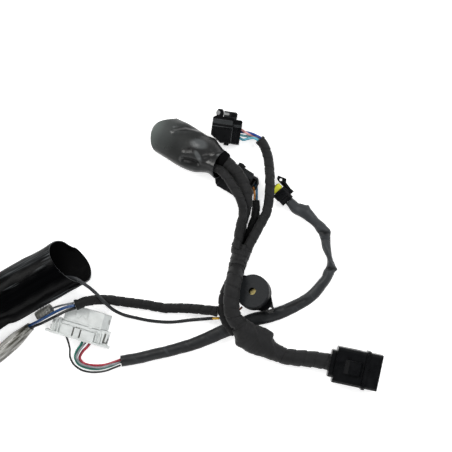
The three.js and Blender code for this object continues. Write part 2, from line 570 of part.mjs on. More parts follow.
// Wires that show one by one: colour, diameter and route
const WIRES = {
  wire_pink: ["pink", WIRE, [[12.9, 84.8, 9.8], [15.6, 82.8, 10.6], [18.5, 80.4, 9.6], [23, 78.6, 6.6], [29.1, 76.7, 5.4]]],
  wire_navy: ["navy", WIRE, [[12.6, 82.6, 6.6], [15.5, 82.2, 7], [19, 82.3, 7.6], [24, 80.6, 9], [30.6, 77.2, 8]]],
  wire_sky: ["sky", WIRE, [[11.8, 76.4, 9.4], [15, 75, 9.4], [19.5, 76.6, 9.8], [24, 77.6, 10.6], [28, 75.6, 9.6]]],
  wire_white: ["white", WIRE, [[12.1, 79.4, 7.4], [14.4, 77.2, 6.4], [18, 76.2, 5.6], [23, 76.4, 5.4], [27, 74.7, 6.4]]],
  wire_orange: ["orange", WIRE, [[23.9, 34.2, 7.4], [24.8, 31.5, 7.6], [25, 27.5, 7.2], [24.8, 22.9, 6.6]]],
  wire_clear: ["white", WIRE, [[22.5, 32.3, 5], [24, 30, 4.8], [25.2, 27, 4.4], [25.6, 22.9, 3.9]]],
  wire_blue: ["blue", WIRE, [[25.4, 36.9, 6], [27, 34.2, 6.2], [27.7, 29.5, 6], [27.4, 22.9, 5.8]]],
  wire_green: ["green", WIRE, [[51.1, 21.6, 5.3], [52.8, 20.2, 5.8], [54.9, 19.9, 6.2]]],
  wire_brown: ["orangeRed", WIRE, [[54.7, 25, 5.3], [56.6, 23.4, 5.8], [57.9, 22, 6.2]]],
  wire_sounder: ["orangeRed", WIRE, [[14.2, -70.8, 9.5], [11, -73.5, 9], [6, -74.5, 10.5], [1.4, -73.2, 12.2]]],
  wire_yellow: ["yellow", 2.2, [[-17.6, -81.4, 4.1], [-12, -81, 6.8], [-6.2, -80.6, 11.6]]],
  bullet_wire_blue: [
    "blue", BULLET_WIRE,
    [[-131.6, -68.9, 19.5], [-140.5, -71.2, 18], [-149, -75, 14.4], [-157, -79.4, 11], [-163.5, -83, 9.2],
      [-168.6, -85.3, 6.4], [-172.4, -87.3, 4.2], [-174.6, -89.2, 4]],
  ],
  bullet_wire_black: [
    "black", BULLET_WIRE,
    [[-130.9, -71.2, 16.9], [-140.5, -74.6, 16.4], [-147.5, -78.2, 16.2], [-155, -82, 10.8], [-162.5, -85.6, 4.8],
      [-168, -87.9, 4], [-170.8, -89.4, 4], [-173, -91.3, 4]],
  ],
  bullet_wire_grey: [
    "grey", WIRE, [[-132.8, -66.9, 16.9], [-139, -68.2, 14.6], [-146, -70, 8.6], [-151.5, -71.9, 5], [-156.4, -74.3, 4.7]],
  ],
  loom_wire_black: [
    "black", WIRE,
    [[-140.1, -96.3, 7], [-138.6, -100.5, 7], [-137, -107.5, 5.4], [-137, -115, 3], [-134, -121.5, 1.2], [-127, -126.6, 1.2],
      [-117, -128.6, 1.2], [-106, -127.4, 1.4], [-98.5, -124.6, 2.4], [-92.6, -122.3, 3.4]],
  ],
  loom_wire_teal: [
    "green", WIRE,
    [[-128.1, -99.8, 7], [-129.2, -103.5, 6.8], [-132, -109.5, 5], [-133, -115.5, 2.6], [-130, -121, 1.2], [-122.5, -124.6, 1.2],
      [-113, -125.6, 1.2], [-103, -123.4, 2], [-92.6, -119.2, 3.4]],
  ],
  loom_wire_red: [
    "red", WIRE,
    [[-119, -102.4, 7], [-121.3, -105.5, 6.8], [-126, -110.5, 5.6], [-128.5, -116, 3.4], [-125.6, -120.4, 1.6],
      [-117.5, -122.6, 1.2], [-108, -122.4, 1.4], [-100, -120.2, 3], [-92.6, -117.4, 4.6]],
  ],
  loom_wire_grey: [
    "grey", WIRE,
    [[-122.3, -101.5, 7], [-124.8, -104.4, 8.4], [-128.6, -109.6, 8.4], [-131, -115.5, 5.4], [-127.6, -120.8, 3.8],
      [-119.5, -123.6, 3.4], [-110, -124.2, 3.4], [-101, -121.8, 4.6], [-92.6, -119.6, 6.4]],
  ],
};
const STEPS_PER_ROUTE_POINT = 1.6;

function buildWires() {
  for (const [name, [colour, diameter, route]] of Object.entries(WIRES)) {
    const steps = Math.ceil(route.length * STEPS_PER_ROUTE_POINT);
    add(harness, name, tube(route, diameter, steps, 8), WIRE_COLOURS[colour]);
  }
}

buildLooms();
buildBoot();
buildLargeSleeve();
buildBullet("upper", -153.1, -72.6, 27, BOOT_UPPER, 7);
buildBullet("lower", -171.6, -88.2, 42, BOOT_LOWER, 16);
buildTopConnector();
buildSecondConnector();
buildTwoWay();
buildSounder();
buildWhiteConnector();
buildMainConnector();
buildWires();

export default harness;
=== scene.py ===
import json
import math

import bpy
import numpy as np
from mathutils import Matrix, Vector


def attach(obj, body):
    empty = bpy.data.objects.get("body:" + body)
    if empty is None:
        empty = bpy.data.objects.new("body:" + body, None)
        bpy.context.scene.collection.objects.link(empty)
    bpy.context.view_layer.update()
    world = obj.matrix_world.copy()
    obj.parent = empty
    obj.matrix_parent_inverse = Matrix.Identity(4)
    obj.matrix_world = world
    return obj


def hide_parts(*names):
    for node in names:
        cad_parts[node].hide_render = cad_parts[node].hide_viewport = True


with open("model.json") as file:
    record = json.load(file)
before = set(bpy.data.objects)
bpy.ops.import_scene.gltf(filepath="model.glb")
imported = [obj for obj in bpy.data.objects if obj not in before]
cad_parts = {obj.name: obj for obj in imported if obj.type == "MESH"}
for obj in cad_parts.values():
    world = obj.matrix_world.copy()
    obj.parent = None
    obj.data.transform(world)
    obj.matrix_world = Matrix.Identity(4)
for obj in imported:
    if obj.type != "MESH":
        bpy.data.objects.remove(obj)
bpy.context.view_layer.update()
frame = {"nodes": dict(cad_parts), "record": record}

# Layout: points are given in the flat-lay frame in millimetres, as the part's own source gives them
LAY_CENTRE = np.array([-53.8, -20.9, 0.0])
BENCH_TO_CAMERA = 1600.0
PHOTO_WIDTH = 397.8  # millimetres of bench across the photograph

# Diameters in millimetres
BRANCH_A = 7.6
BRANCH_D = 8.5
BRANCH_E = 8.6
TRUNK = 14.0
TRUNK_TAIL = 14.4
THIN_SLEEVE = 3.0
WIRE = 1.8
BULLET_WIRE = 2.6
TAPE_WIDTH = 9.0

# Places and turns of the pieces, in millimetres and degrees of the lay
BOOT_PLACE = (-36.0, 68.5, 0.0)
BOOT_TURN = -31.3
LARGE_PLACE = (-145.6, -36.8, 0.0)
LARGE_TURN = 29.4
SOUNDER_PLACE = (25.3, -59.3, 7.36)
SOUNDER_AXIS = (-0.2185, 0.2185, 0.9511)  # sin and cos of its 18 degree tilt, leaning to 135 degrees
SOUNDER_HOLE = (22.9, -56.9, 17.0)

# Meshes and finishes
TUBE_SIDES = 32
ROWS_PER_SPAN = 24
RING_STEP = 0.55
BENCH_GAP = 0.02  # millimetres kept between a soft piece and the bench
EDGE_SOFTNESS = 0.45  # millimetres of softened edge on the solids
THREADS_PER_MM = 0.55
GRAIN_DEPTH = 0.00006  # metres

# Stage, in metres
FLOOR_SIZE = 6.0
FLOOR_DROP = 0.0002
FLOOR_LIFT = 0.68  # light of its own that brings the floor to white behind the object
SENSOR_WIDTH = 36.0


# Placement
def lay(points):
    """Points of the lay in millimetres, as metres in the row frame: p = (q - centre) / 1000."""
    return (np.array(points, float) - LAY_CENTRE) / 1000.0


def placed(points, place, turn):
    """A piece's own points in the lay: q = Rz(turn) p + place."""
    t = math.radians(turn)
    about_z = np.array([[math.cos(t), -math.sin(t), 0], [math.sin(t), math.cos(t), 0], [0, 0, 1]])
    return np.asarray(points) @ about_z.T + np.array(place)


# Curves
def smooth_rows(rows):
    """Rows interpolated with the centripetal Catmull-Rom cubic: knots are |p1 - p0| ** 0.5 apart."""
    rows = np.array(rows, float)
    rows = np.vstack([2 * rows[0] - rows[1], rows, 2 * rows[-1] - rows[-2]])
    t = np.linspace(0, 1, ROWS_PER_SPAN, endpoint=False)[:, None]
    spans = []
    for p0, p1, p2, p3 in zip(rows, rows[1:], rows[2:], rows[3:]):
        k0, k1, k2 = (np.linalg.norm((b - a)[:3]) ** 0.5 for a, b in ((p0, p1), (p1, p2), (p2, p3)))
        m1 = ((p1 - p0) / k0 - (p2 - p0) / (k0 + k1) + (p2 - p1) / k1) * k1
        m2 = ((p2 - p1) / k1 - (p3 - p1) / (k1 + k2) + (p3 - p2) / k2) * k1
        square = 3 * p2 - 3 * p1 - 2 * m1 - m2
        cube = 2 * p1 - 2 * p2 + m1 + m2
        spans.append(p1 + m1 * t + square * t**2 + cube * t**3)
    return np.vstack(spans + [rows[-2:-1]])


def even_rows(rows, step):
    """Rows spaced evenly by the length of their first three columns, and the length at each."""
    lengths = np.concatenate([[0], np.cumsum(np.linalg.norm(np.diff(rows[:, :3], axis=0), axis=1))])
    count = max(3, int(round(lengths[-1] / step)) + 1)
    at = np.linspace(0, lengths[-1], count)
    return np.stack([np.interp(at, lengths, column) for column in rows.T], 1), at


def lumps(s, angle, seed):
    """Slow unevenness between -1 and 1: a sum of three waves of the length s and the angle."""
    total = 0
    for k, (long, turns) in enumerate(((11.0, 1), (6.3, 2), (3.7, 3))):
        total = total + np.sin(2 * math.pi * s / long + turns * angle + seed * (1.7 + k)) / (1.4 + k)
    return total / 1.5


def way_to_line(points, start, end):
    """Plan distance from points of the lay to the straight line between two places."""
    along = np.array(end, float) - np.array(start, float)
    from_start = points[..., :2] - np.array(start, float)
    share = np.clip(from_start @ along / (along @ along), 0, 1)
    return np.linalg.norm(from_start - share[..., None] * along, axis=-1)


def fold_lift(points, folds):
    """Lift of the folds: each is h exp(-(d / w) ** 2), d the way to its chain of places, then h and w."""
    lift = np.zeros(points.shape[:-1])
    for *places, height, width in folds:
        ways = [way_to_line(points, start, end) for start, end in zip(places, places[1:])]
        lift = lift + height * np.exp(-((np.minimum.reduce(ways) / width) ** 2))
    return lift


# Meshes
def grid_piece(name, rings, lengths, girth, material, looped=False):
    """Mesh over rings of points: column j of ring i is P(s_i, 2 pi j / n); ends are closed by fans."""
    rows, sides = rings.shape[:2]
    grid = np.arange(rows * sides).reshape(rows, sides)
    ahead = np.roll(grid, -1, axis=0) if looped else grid[1:]
    here = grid if looped else grid[:-1]
    quads = np.stack([here, np.roll(here, -1, 1), np.roll(ahead, -1, 1), ahead], -1).reshape(-1, 4)
    points = rings.reshape(-1, 3)
    faces = quads.tolist()
    if not looped:
        points = np.vstack([points, rings[0].mean(0), rings[-1].mean(0)])
        start = np.full(sides, len(points) - 2)
        faces += np.stack([start, np.roll(grid[0], -1), grid[0]], 1).tolist()
        faces += np.stack([start + 1, grid[-1], np.roll(grid[-1], -1)], 1).tolist()
    mesh = bpy.data.meshes.new(name)
    mesh.from_pydata(lay(points).tolist(), [], faces)
    mesh.polygons.foreach_set("use_smooth", [True] * len(faces))
    along = np.concatenate([np.repeat(lengths, sides), [lengths[0], lengths[-1]]])
    corners = np.zeros(len(mesh.loops), int)
    mesh.loops.foreach_get("vertex_index", corners)
    column = corners % sides
    wraps = np.zeros(len(corners), bool)
    last_quad = 4 * len(quads)
    wraps[1:last_quad:4] = column[1:last_quad:4] == 0
    wraps[2:last_quad:4] = column[2:last_quad:4] == 0
    around = (column + wraps * sides) / sides * girth
    layer = mesh.uv_layers.new(name="UVMap")
    layer.data.foreach_set("uv", np.stack([along[corners], around], 1).ravel())
    mesh.validate()
    piece = bpy.data.objects.new(name, mesh)
    bpy.context.scene.collection.objects.link(piece)
    piece.data.materials.append(material)
    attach(piece, "root")
    return piece


def ring_grid(rows, sides, relief):
    """Rings round a path: P = C + cos a (w + r) across + sin a (h + r) up, with r = relief(plain P, s, a)."""
    centres, lengths = even_rows(rows, RING_STEP)
    tangents = np.gradient(centres[:, :3], axis=0)
    tangents /= np.linalg.norm(tangents, axis=1)[:, None]
    across = np.stack([-tangents[:, 1], tangents[:, 0], np.zeros(len(tangents))], 1)
    across /= np.linalg.norm(across, axis=1)[:, None]
    up = np.cross(tangents, across)
    angle = (np.arange(sides) + 0.5) * 2 * math.pi / sides

    def rings_with(lift):
        """The rings with their radii lifted by r."""
        wide = (centres[:, 3:4] + lift) * np.cos(angle)
        high = (centres[:, 4:5] + lift) * np.sin(angle)
        return centres[:, None, :3] + wide[..., None] * across[:, None] + high[..., None] * up[:, None]

    rings = rings_with(relief(rings_with(0.0), lengths[:, None], angle[None, :]))
    rings[..., 2] = np.maximum(rings[..., 2], BENCH_GAP)
    return rings, centres[:, :3], lengths


def with_size(route, diameter):
    """Stations of a round tube: each place of the route with its two radii."""
    return [(*point, diameter / 2, diameter / 2) for point in route]


# Surface reliefs
def tape_relief(pitch, lift, seed, ends=0.0):
    """Lapped tape: r = lift frac(s / pitch + a / 2 pi) - lift / 2 + lumps, with thicker turns at the ends."""
    def relief(points, s, angle):
        """Lift of the tape at the length s and the angle a."""
        turn = (s / pitch + angle / (2 * math.pi) + 0.3 * np.sin(s / 31.0 + seed)) % 1.0
        edge = lift * (turn ** 0.7 - 0.5 - 0.9 * np.exp(-((turn / 0.11) ** 2)))
        total = s.max()
        cuff = ends * (np.exp(-((s / 3.0) ** 4)) + np.exp(-(((total - s) / 3.0) ** 4)))
        return edge + cuff + 0.16 * lumps(s, angle, seed)
    return relief


def junction_relief(points, s, angle):
    """Tape drawn over the branches: turns less grooves d exp(-((a - m) / w) ** 2), which fade along s."""
    turns = tape_relief(6.0, 0.6, 9.0)(points, s, angle)
    fade = np.exp(-s / 9.0)
    groove = 0.0
    for depth, middle, width in ((3.2, 1.75, 0.2), (1.6, 1.1, 0.16), (2.2, 4.7, 0.3)):
        groove = groove + depth * np.exp(-(((angle - middle) / width) ** 2))
    return turns - groove * fade


def sleeve_relief(seed, amount, folds=(), corners=()):
    """Slow unevenness, folds on the side that faces up, and corners pressed out all round."""
    def relief(points, s, angle):
        """Lift of the sleeve's skin."""
        facing_up = np.clip(1.6 * np.sin(angle), 0, 1)
        slow = amount * lumps(s * 0.5, angle, seed)
        return slow + fold_lift(points, folds) * facing_up + fold_lift(points, corners)
    return relief


# Materials
def add_node(tree, kind, inputs, **settings):
    """Node with its settings, and each input either linked to a socket or given a value."""
    node = tree.nodes.new(kind)
    for key, value in settings.items():
        setattr(node, key, value)
    for key, value in inputs.items():
        if isinstance(value, bpy.types.NodeSocket):
            tree.links.new(value, node.inputs[key])
        else:
            node.inputs[key].default_value = value
    return node


def calculated(tree, operation, *values):
    """Arithmetic on values or sockets, by the name of the operation."""
    return add_node(tree, "ShaderNodeMath", dict(enumerate(values)), operation=operation).outputs[0]


def share_between(tree, value, low, high):
    """Share of the way from low to high, held between 0 and 1."""
    spans = {"Value": value, "From Min": low, "From Max": high}
    return add_node(tree, "ShaderNodeMapRange", spans).outputs[0]


def painted(tree, shader, color, roughness=None):
    """Links a colour, and a roughness where it is given, to the shader."""
    tree.links.new(color, shader.inputs["Base Color"])
    if roughness is not None:
        tree.links.new(roughness, shader.inputs["Roughness"])


def new_material(name, roughness, metallic=0.0, coat=0.0, specular=0.5):
    """Material with its node tree and shader."""
    material = bpy.data.materials.new(name)
    material.use_nodes = True
    shader = material.node_tree.nodes["Principled BSDF"]
    shader.inputs["Roughness"].default_value = roughness
    shader.inputs["Metallic"].default_value = metallic
    shader.inputs["Coat Weight"].default_value = coat
    shader.inputs["Coat Roughness"].default_value = 0.12
    shader.inputs["Specular IOR Level"].default_value = specular
    return material, material.node_tree, shader


def new_group(name, vectors, values, output):
    """Shader node group with named vectors and values as inputs, and one named value that it puts out."""
    group = bpy.data.node_groups.new(name, "ShaderNodeTree")
    for label in ("Coordinates", *vectors):
        group.interface.new_socket(name=label, in_out="INPUT", socket_type="NodeSocketVector")
    for label in values:
        group.interface.new_socket(name=label, in_out="INPUT", socket_type="NodeSocketFloat")
    group.interface.new_socket(name=output, in_out="OUTPUT", socket_type="NodeSocketFloat")
    given = group.nodes.new("NodeGroupInput").outputs
    result = group.nodes.new("NodeGroupOutput").inputs[output]
    return group, given, result


def object_coords(tree):
    """Coordinates of the object's own frame, in metres."""
    return tree.nodes.new("ShaderNodeTexCoord").outputs["Object"]


def moved_coords(tree, coords, offset, rotation):
    """Coordinates moved by an offset in metres and then turned: both are values or sockets."""
    moved = add_node(tree, "ShaderNodeMapping", {"Vector": coords, "Location": offset}).outputs["Vector"]
    return add_node(tree, "ShaderNodeMapping", {"Vector": moved, "Rotation": rotation}).outputs["Vector"]


def stretched_clouds_group():
    """Clouds between 0 and 1: noise(stretch * (R(turn) p)) over the coordinates p."""
    group, given, result = new_group(
        "stretched_clouds", ("Turn", "Stretch"), ("Scale", "Detail", "Roughness"), "Clouds")
    shape = {0: moved_coords(group, given["Coordinates"], (0, 0, 0), given["Turn"]), 1: given["Stretch"]}
    shaped = add_node(group, "ShaderNodeVectorMath", shape, operation="MULTIPLY").outputs["Vector"]
    inputs = {"Vector": shaped, **{label: given[label] for label in ("Scale", "Detail", "Roughness")}}
    group.links.new(add_node(group, "ShaderNodeTexNoise", inputs).outputs["Fac"], result)
    return group


def soft_patch_group():
    """Soft patch between 0 and 1: 1 - |v|, with v = size * (R(turn) (p + offset))."""
    group, given, result = new_group("soft_patch", ("Offset", "Turn", "Size"), (), "Patch")
    shape = {0: moved_coords(group, given["Coordinates"], given["Offset"], given["Turn"]), 1: given["Size"]}
    shaped = add_node(group, "ShaderNodeVectorMath", shape, operation="MULTIPLY").outputs["Vector"]
    ball = add_node(group, "ShaderNodeTexGradient", {"Vector": shaped}, gradient_type="SPHERICAL")
    group.links.new(ball.outputs["Fac"], result)
    return group


def weave_group():
    """Woven threads between 0 and 1: the product of two waves, along and across the piece."""
    group, given, result = new_group("weave", (), ("Threads",), "Height")
    thread = {"Vector": given["Coordinates"], "Scale": given["Threads"]}
    warp, weft = (add_node(group, "ShaderNodeTexWave", thread, bands_direction=axis) for axis in ("X", "Y"))
    height = calculated(group, "MULTIPLY", warp.outputs["Fac"], weft.outputs["Fac"])
    group.links.new(height, result)
    return group


STRETCHED_CLOUDS = stretched_clouds_group()
SOFT_PATCH = soft_patch_group()
WEAVE = weave_group()


def placed_group(tree, group, coords, inputs):
    """A group placed in a material over given coordinates, with its own values."""
    node = tree.nodes.new("ShaderNodeGroup")
    node.node_tree = group
    tree.links.new(coords, node.inputs["Coordinates"])
    for label, value in inputs.items():
        node.inputs[label].default_value = value
    return node.outputs[0]


def clouds_of(tree, scale, detail=4.0, roughness=0.55, stretch=(1, 1, 1), turn=0.0):
    """The clouds placed in a material: their size, and how they are turned and stretched."""
    inputs = {
        "Turn": (0, 0, turn), "Stretch": stretch, "Scale": scale, "Detail": detail, "Roughness": roughness}
    return placed_group(tree, STRETCHED_CLOUDS, object_coords(tree), inputs)


def spot(tree, centre, radii, turn=0.0):
    """The soft patch placed round a place of the lay, with its two radii in millimetres."""
    inputs = {
        "Offset": tuple(-lay((*centre, 0.0))), "Turn": (0, 0, -math.radians(turn)),
        "Size": (1000 / radii[0], 1000 / radii[1], 0.0)}
    return placed_group(tree, SOFT_PATCH, object_coords(tree), inputs)


def ramp(tree, factor, stops):
    """Colours or greys between stops of (place, value)."""
    node = add_node(tree, "ShaderNodeValToRGB", {"Fac": factor})
    elements = node.color_ramp.elements
    while len(elements) < len(stops):
        elements.new(0.5)
    for element, (place, value) in zip(elements, stops):
        element.position = place
        element.color = (value, value, value, 1) if np.isscalar(value) else (*value, 1)
    return node.outputs["Color"]


def bump(tree, shader, height, distance, strength, below=None):
    """Fine relief on the shader's normal, over another one where it is given."""
    inputs = {"Height": height, "Distance": distance, "Strength": strength}
    if below is not None:
        inputs["Normal"] = below
    normal = add_node(tree, "ShaderNodeBump", inputs).outputs["Normal"]
    tree.links.new(normal, shader.inputs["Normal"])
    return normal


def scaled(color, factor):
    """Colour made lighter or darker by a factor."""
    return tuple(min(1.0, c * factor) for c in color)


def mixed(tree, factor, first, second):
    """Colour between two: a colour or a socket for each, and the share of the second."""
    node = tree.nodes.new("ShaderNodeMix")
    node.data_type = "RGBA"
    tree.links.new(factor, node.inputs["Factor"])
    for socket, value in zip((node.inputs[6], node.inputs[7]), (first, second)):
        if isinstance(value, bpy.types.NodeSocket):
            tree.links.new(value, socket)
        else:
            socket.default_value = (*value, 1)
    return node.outputs[2]


def toned(tree, color, spots, tone, stops=((0.0, 0.0), (1.0, 1.0))):
    """Colour that goes over to a tone inside soft patches, each with its centre, radii and turn."""
    for centre, radii, turn in spots:
        share = ramp(tree, spot(tree, centre, radii, turn), stops)
        color = mixed(tree, share, color, tone)
    return color


def along_axis(tree, place, axis):
    """Distance in metres along an axis from a place of the lay."""
    away = {0: moved_coords(tree, object_coords(tree), tuple(-lay(place)), (0, 0, 0)), 1: axis}
    return add_node(tree, "ShaderNodeVectorMath", away, operation="DOT_PRODUCT").outputs["Value"]


def cloth_tape_material(name, color):
    """Woven tape: a weave in the piece's own length and girth, with lint and rubbed high spots."""
    material, tree, shader = new_material(name, 0.62, specular=0.22)
    coords = tree.nodes.new("ShaderNodeTexCoord").outputs["UV"]
    weave = placed_group(tree, WEAVE, coords, {"Threads": THREADS_PER_MM})
    patches = clouds_of(tree, 90.0)
    base = ramp(tree, patches, [(0.3, scaled(color, 0.55)), (0.55, color), (0.75, scaled(color, 1.8))])
    painted(tree, shader, base, ramp(tree, patches, [(0.3, 0.5), (0.7, 0.74)]))
    shader.inputs["Sheen Weight"].default_value = 0.06
    woven = bump(tree, shader, weave, 0.00012, 0.6)
    bump(tree, shader, clouds_of(tree, 420.0, 3.0), 0.0005, 0.5, woven)
    return material


def sleeve_material(name, color, roughness, streak_turn, coat, specular, scuff=2.5):
    """Extruded sleeve: streaks and rubbed lines run along it, with fine scratches and dust."""
    material, tree, shader = new_material(name, roughness, coat=coat, specular=specular)
    streaks = clouds_of(tree, 1.0, 5.0, 0.6, (14, 190, 60), streak_turn)
    specks = clouds_of(tree, 650.0, 2.0)
    base = ramp(tree, streaks, [
        (0.3, scaled(color, 0.8)), (0.6, color), (0.68, scaled(color, 2.2)), (0.74, scaled(color, scuff))])
    rubbed = ramp(tree, streaks, [(0.35, roughness), (0.75, min(1.0, roughness + 0.28))])
    painted(tree, shader, base, rubbed)
    ripples = bump(tree, shader, streaks, 0.0004, 0.4)
    bump(tree, shader, specks, 0.00008, 0.5, ripples)
    return material, tree, shader, base


def grey_sleeve_material():
    """Grey sleeve: paler away from the trunk, darker near it, with painted shade in its kinks and folds."""
    material, tree, shader, base = sleeve_material(
        "grey_sleeve_crease_shade_and_rubs", (0.015, 0.0165, 0.018), 0.4, 0.9, coat=0.04, specular=0.3)
    away = along_axis(tree, (0, -66, 0), (0.0, 1.0, 0.0))
    share = share_between(tree, away, -0.012, 0.03)
    pale = add_node(tree, "ShaderNodeMix", {"Factor": 1.0}, data_type="RGBA", blend_type="MULTIPLY")
    tree.links.new(base, pale.inputs[6])
    pale.inputs[7].default_value = (2.1, 2.1, 2.15, 1)
    color = mixed(tree, share, base, pale.outputs[2])
    # Painted shade: the sleeve's colour goes near black in its kinks and along a long fold.
    crease_shade_spots = (
        ((86.6, -6), (7, 3.4), -8), ((91.5, -37.2), (7, 2.6), -5), ((60, -68.6), (17, 2.6), 24),
        ((-35, -109.5), (50, 4), 18))
    painted(tree, shader, toned(tree, color, crease_shade_spots, (0.0025, 0.0027, 0.003)))
    return material


def gloss_sleeve_material():
    """Black sleeve: lengthwise streaks, a few pale scratches, a rubbed patch beside the mouth and a painted
    highlight band along its upper edge.
    """
    turn = -math.radians(LARGE_TURN)
    material, tree, shader, base = sleeve_material(
        "gloss_sleeve_edge_highlight_and_scuffs", (0.0012, 0.0013, 0.0016), 0.17, turn, coat=0.0, specular=0.05, scuff=12)
    hairlines = clouds_of(tree, 1.0, 2.0, stretch=(30, 900, 90), turn=turn)
    lines = ramp(tree, hairlines, [(0.5, 0.0), (0.64, 1.0)])
    # Painted highlight: a paler band just inside the sleeve's upper edge.
    base = toned(tree, base, (((-172.7, -29.6), (36, 6), LARGE_TURN),), (0.03, 0.032, 0.034))
    places = (
        ((-153.5, -25.5), (11, 5), 55), ((-161, -36.5), (8, 1.6), 25), ((-186, -52.5), (9, 1.6), 25),
        ((-176, -33), (34, 4), LARGE_TURN), ((-140, -58), (30, 4), LARGE_TURN))
    for centre, radii, spot_turn in places:
        share = calculated(tree, "MULTIPLY", spot(tree, centre, radii, spot_turn), lines)
        base = mixed(tree, share, base, (0.11, 0.12, 0.125))
    painted(tree, shader, base)
    return material


def sounder_material():
    """Case of the sounder: dull grey face, darker and glossier wall below its rim."""
    material, tree, shader = new_material("sounder_case_moulded", 0.45, specular=0.14)
    height = along_axis(tree, SOUNDER_PLACE, SOUNDER_AXIS)
    face = share_between(tree, height, 0.0114, 0.0120)
    dust = clouds_of(tree, 900.0)
    grey = ramp(tree, dust, [(0.3, (0.0165, 0.018, 0.0195)), (0.7, (0.022, 0.024, 0.026))])
    color = mixed(tree, face, (0.004, 0.0044, 0.005), grey)
    painted(tree, shader, color, ramp(tree, face, [(0.0, 0.5), (1.0, 0.52)]))
    bump(tree, shader, dust, 0.00005, 0.5)
    return material


def boot_material():
    """Clouded vinyl: pale and thin at the far rim, darker over the looms, with painted shade in its deep
    folds and painted glints.
    """
    material, tree, shader = new_material("boot_vinyl_shade_and_glints", 0.26, specular=0.4)
    axis = math.radians(BOOT_TURN)
    along = along_axis(tree, BOOT_PLACE, (math.cos(axis), math.sin(axis), 0.0))
    clouds = clouds_of(tree, 60.0, 5.0)
    wavering = calculated(tree, "MULTIPLY_ADD", clouds, 0.006, along)
    share = share_between(tree, wavering, -0.036, 0.040)
    rim = (0.17, 0.195, 0.185)
    color = ramp(tree, share, [
        (0.0, rim), (0.1, scaled(rim, 0.75)), (0.22, (0.06, 0.065, 0.064)), (0.4, (0.025, 0.0265, 0.026)),
        (0.75, (0.02, 0.0205, 0.021)), (1.0, (0.019, 0.0195, 0.0205))])
    # Painted shade: the vinyl goes near black in its deep folds.
    fold_shade_pockets = (((-31, 56.5), (12, 5.5), -16), ((-31, 66), (11, 4), 10), ((-34, 85), (13, 3), 5))
    color = toned(tree, color, fold_shade_pockets, (0.0035, 0.0037, 0.004), ((0.15, 0.0), (0.6, 1.0)))
    # Painted highlights: soft pale patches on the flanks of the bulge and the ridge.
    glints = (((-23.4, 71.2), (9.5, 5.4), -14), ((-24.4, 60.6), (7, 2.6), -62))
    color = toned(tree, color, glints, (0.1, 0.107, 0.11), ((0.06, 0.0), (0.45, 0.75)))
    painted(tree, shader, color, ramp(tree, clouds, [(0.3, 0.26), (0.7, 0.36)]))
    soft = bump(tree, shader, clouds, 0.0003, 0.15)
    bump(tree, shader, clouds_of(tree, 520.0, 3.0), 0.00005, 0.3, soft)
    return material


def clear_vinyl_material():
    """Aged clear vinyl: brownish grey with dark and pale streaks along the covers."""
    material, tree, shader = new_material("clear_vinyl_aged", 0.24, coat=0.25)
    clouds = clouds_of(tree, 1.0, 3.0, stretch=(26, 330, 110), turn=-math.radians(39))
    base = ramp(tree, clouds, [
        (0.3, (0.03, 0.029, 0.022)), (0.42, (0.13, 0.127, 0.108)), (0.52, (0.38, 0.375, 0.35)),
        (0.64, (0.74, 0.74, 0.71))])
    base = toned(tree, base, (((-159, -75), (12, 8), 27),), (0.55, 0.54, 0.5), ((0.0, 0.0), (0.5, 0.55)))
    painted(tree, shader, base)
    shader.inputs["Transmission Weight"].default_value = 0.15
    shader.inputs["IOR"].default_value = 1.35
    bump(tree, shader, clouds, 0.0003, 0.3)
    return material


def moulded_material(name, color, roughness, specular=0.5, tint=0.25):
    """Moulded plastic: spark grain, faint flow marks and rubbed patches."""
    material, tree, shader = new_material(name, roughness, specular=specular)
    flow = clouds_of(tree, 130.0, 5.0, stretch=(1, 1, 3))
    base = ramp(tree, flow, [(0.3, scaled(color, 1 - tint)), (0.55, color), (0.8, scaled(color, 1 + tint))])
    rubbed = ramp(tree, flow, [(0.3, roughness * 0.8), (0.75, min(1.0, roughness * 1.25))])
    painted(tree, shader, base, rubbed)
    bump(tree, shader, clouds_of(tree, 1500.0, 3.0), GRAIN_DEPTH, 0.8)
    return material


def brass_material():
    """Tarnished brass, shaded on one side inside the sounder's hole."""
    material, tree, shader = new_material("brass_tarnished", 0.42, metallic=0.85)
    tarnish = clouds_of(tree, 480.0, 5.0)
    base = ramp(tree, tarnish, [
        (0.3, (0.13, 0.1, 0.035)), (0.6, (0.25, 0.21, 0.085)), (0.8, (0.36, 0.32, 0.16))])
    across = along_axis(tree, SOUNDER_HOLE, (0.77, -0.64, 0.0))
    lit = share_between(tree, across, -0.0022, 0.0022)
    far = ramp(tree, spot(tree, SOUNDER_HOLE[:2], (9.0, 9.0)), [(0.0, 1.0), (0.05, 0.0)])
    share = calculated(tree, "MAXIMUM", lit, far)
    painted(tree, shader, mixed(tree, share, (0.02, 0.017, 0.006), base))
    bump(tree, shader, tarnish, 0.0001, 0.5)
    return material


def wire_material(name, color):
    """Wire insulation: slightly waxy, with grime along it and faint extrusion lines."""
    material, tree, shader = new_material(name, 0.36, coat=0.15)
    grime = clouds_of(tree, 330.0)
    base = ramp(tree, grime, [(0.28, scaled(color, 0.6)), (0.5, color), (0.75, scaled(color, 1.25))])
    painted(tree, shader, base)
    bump(tree, shader, grime, 0.00015, 0.5)
    return material


TAPE = cloth_tape_material("cloth_tape_worn", (0.0122, 0.0122, 0.0128))
# A darker copy of the tape, used as painted shade on branches C and E and on the rear bundle.
SHADE_PAINTED_TAPE = cloth_tape_material("cloth_tape_painted_shade", (0.006, 0.006, 0.0065))
GREY_SLEEVE = grey_sleeve_material()
GLOSS_SLEEVE = gloss_sleeve_material()
# Paler grey on the cut rims of the open sleeves: a painted highlight along each rim.
RIM_HIGHLIGHT = moulded_material("sleeve_rim_painted_highlight", (0.075, 0.08, 0.083), 0.4, specular=0.3)
SOUNDER_CASE = sounder_material()
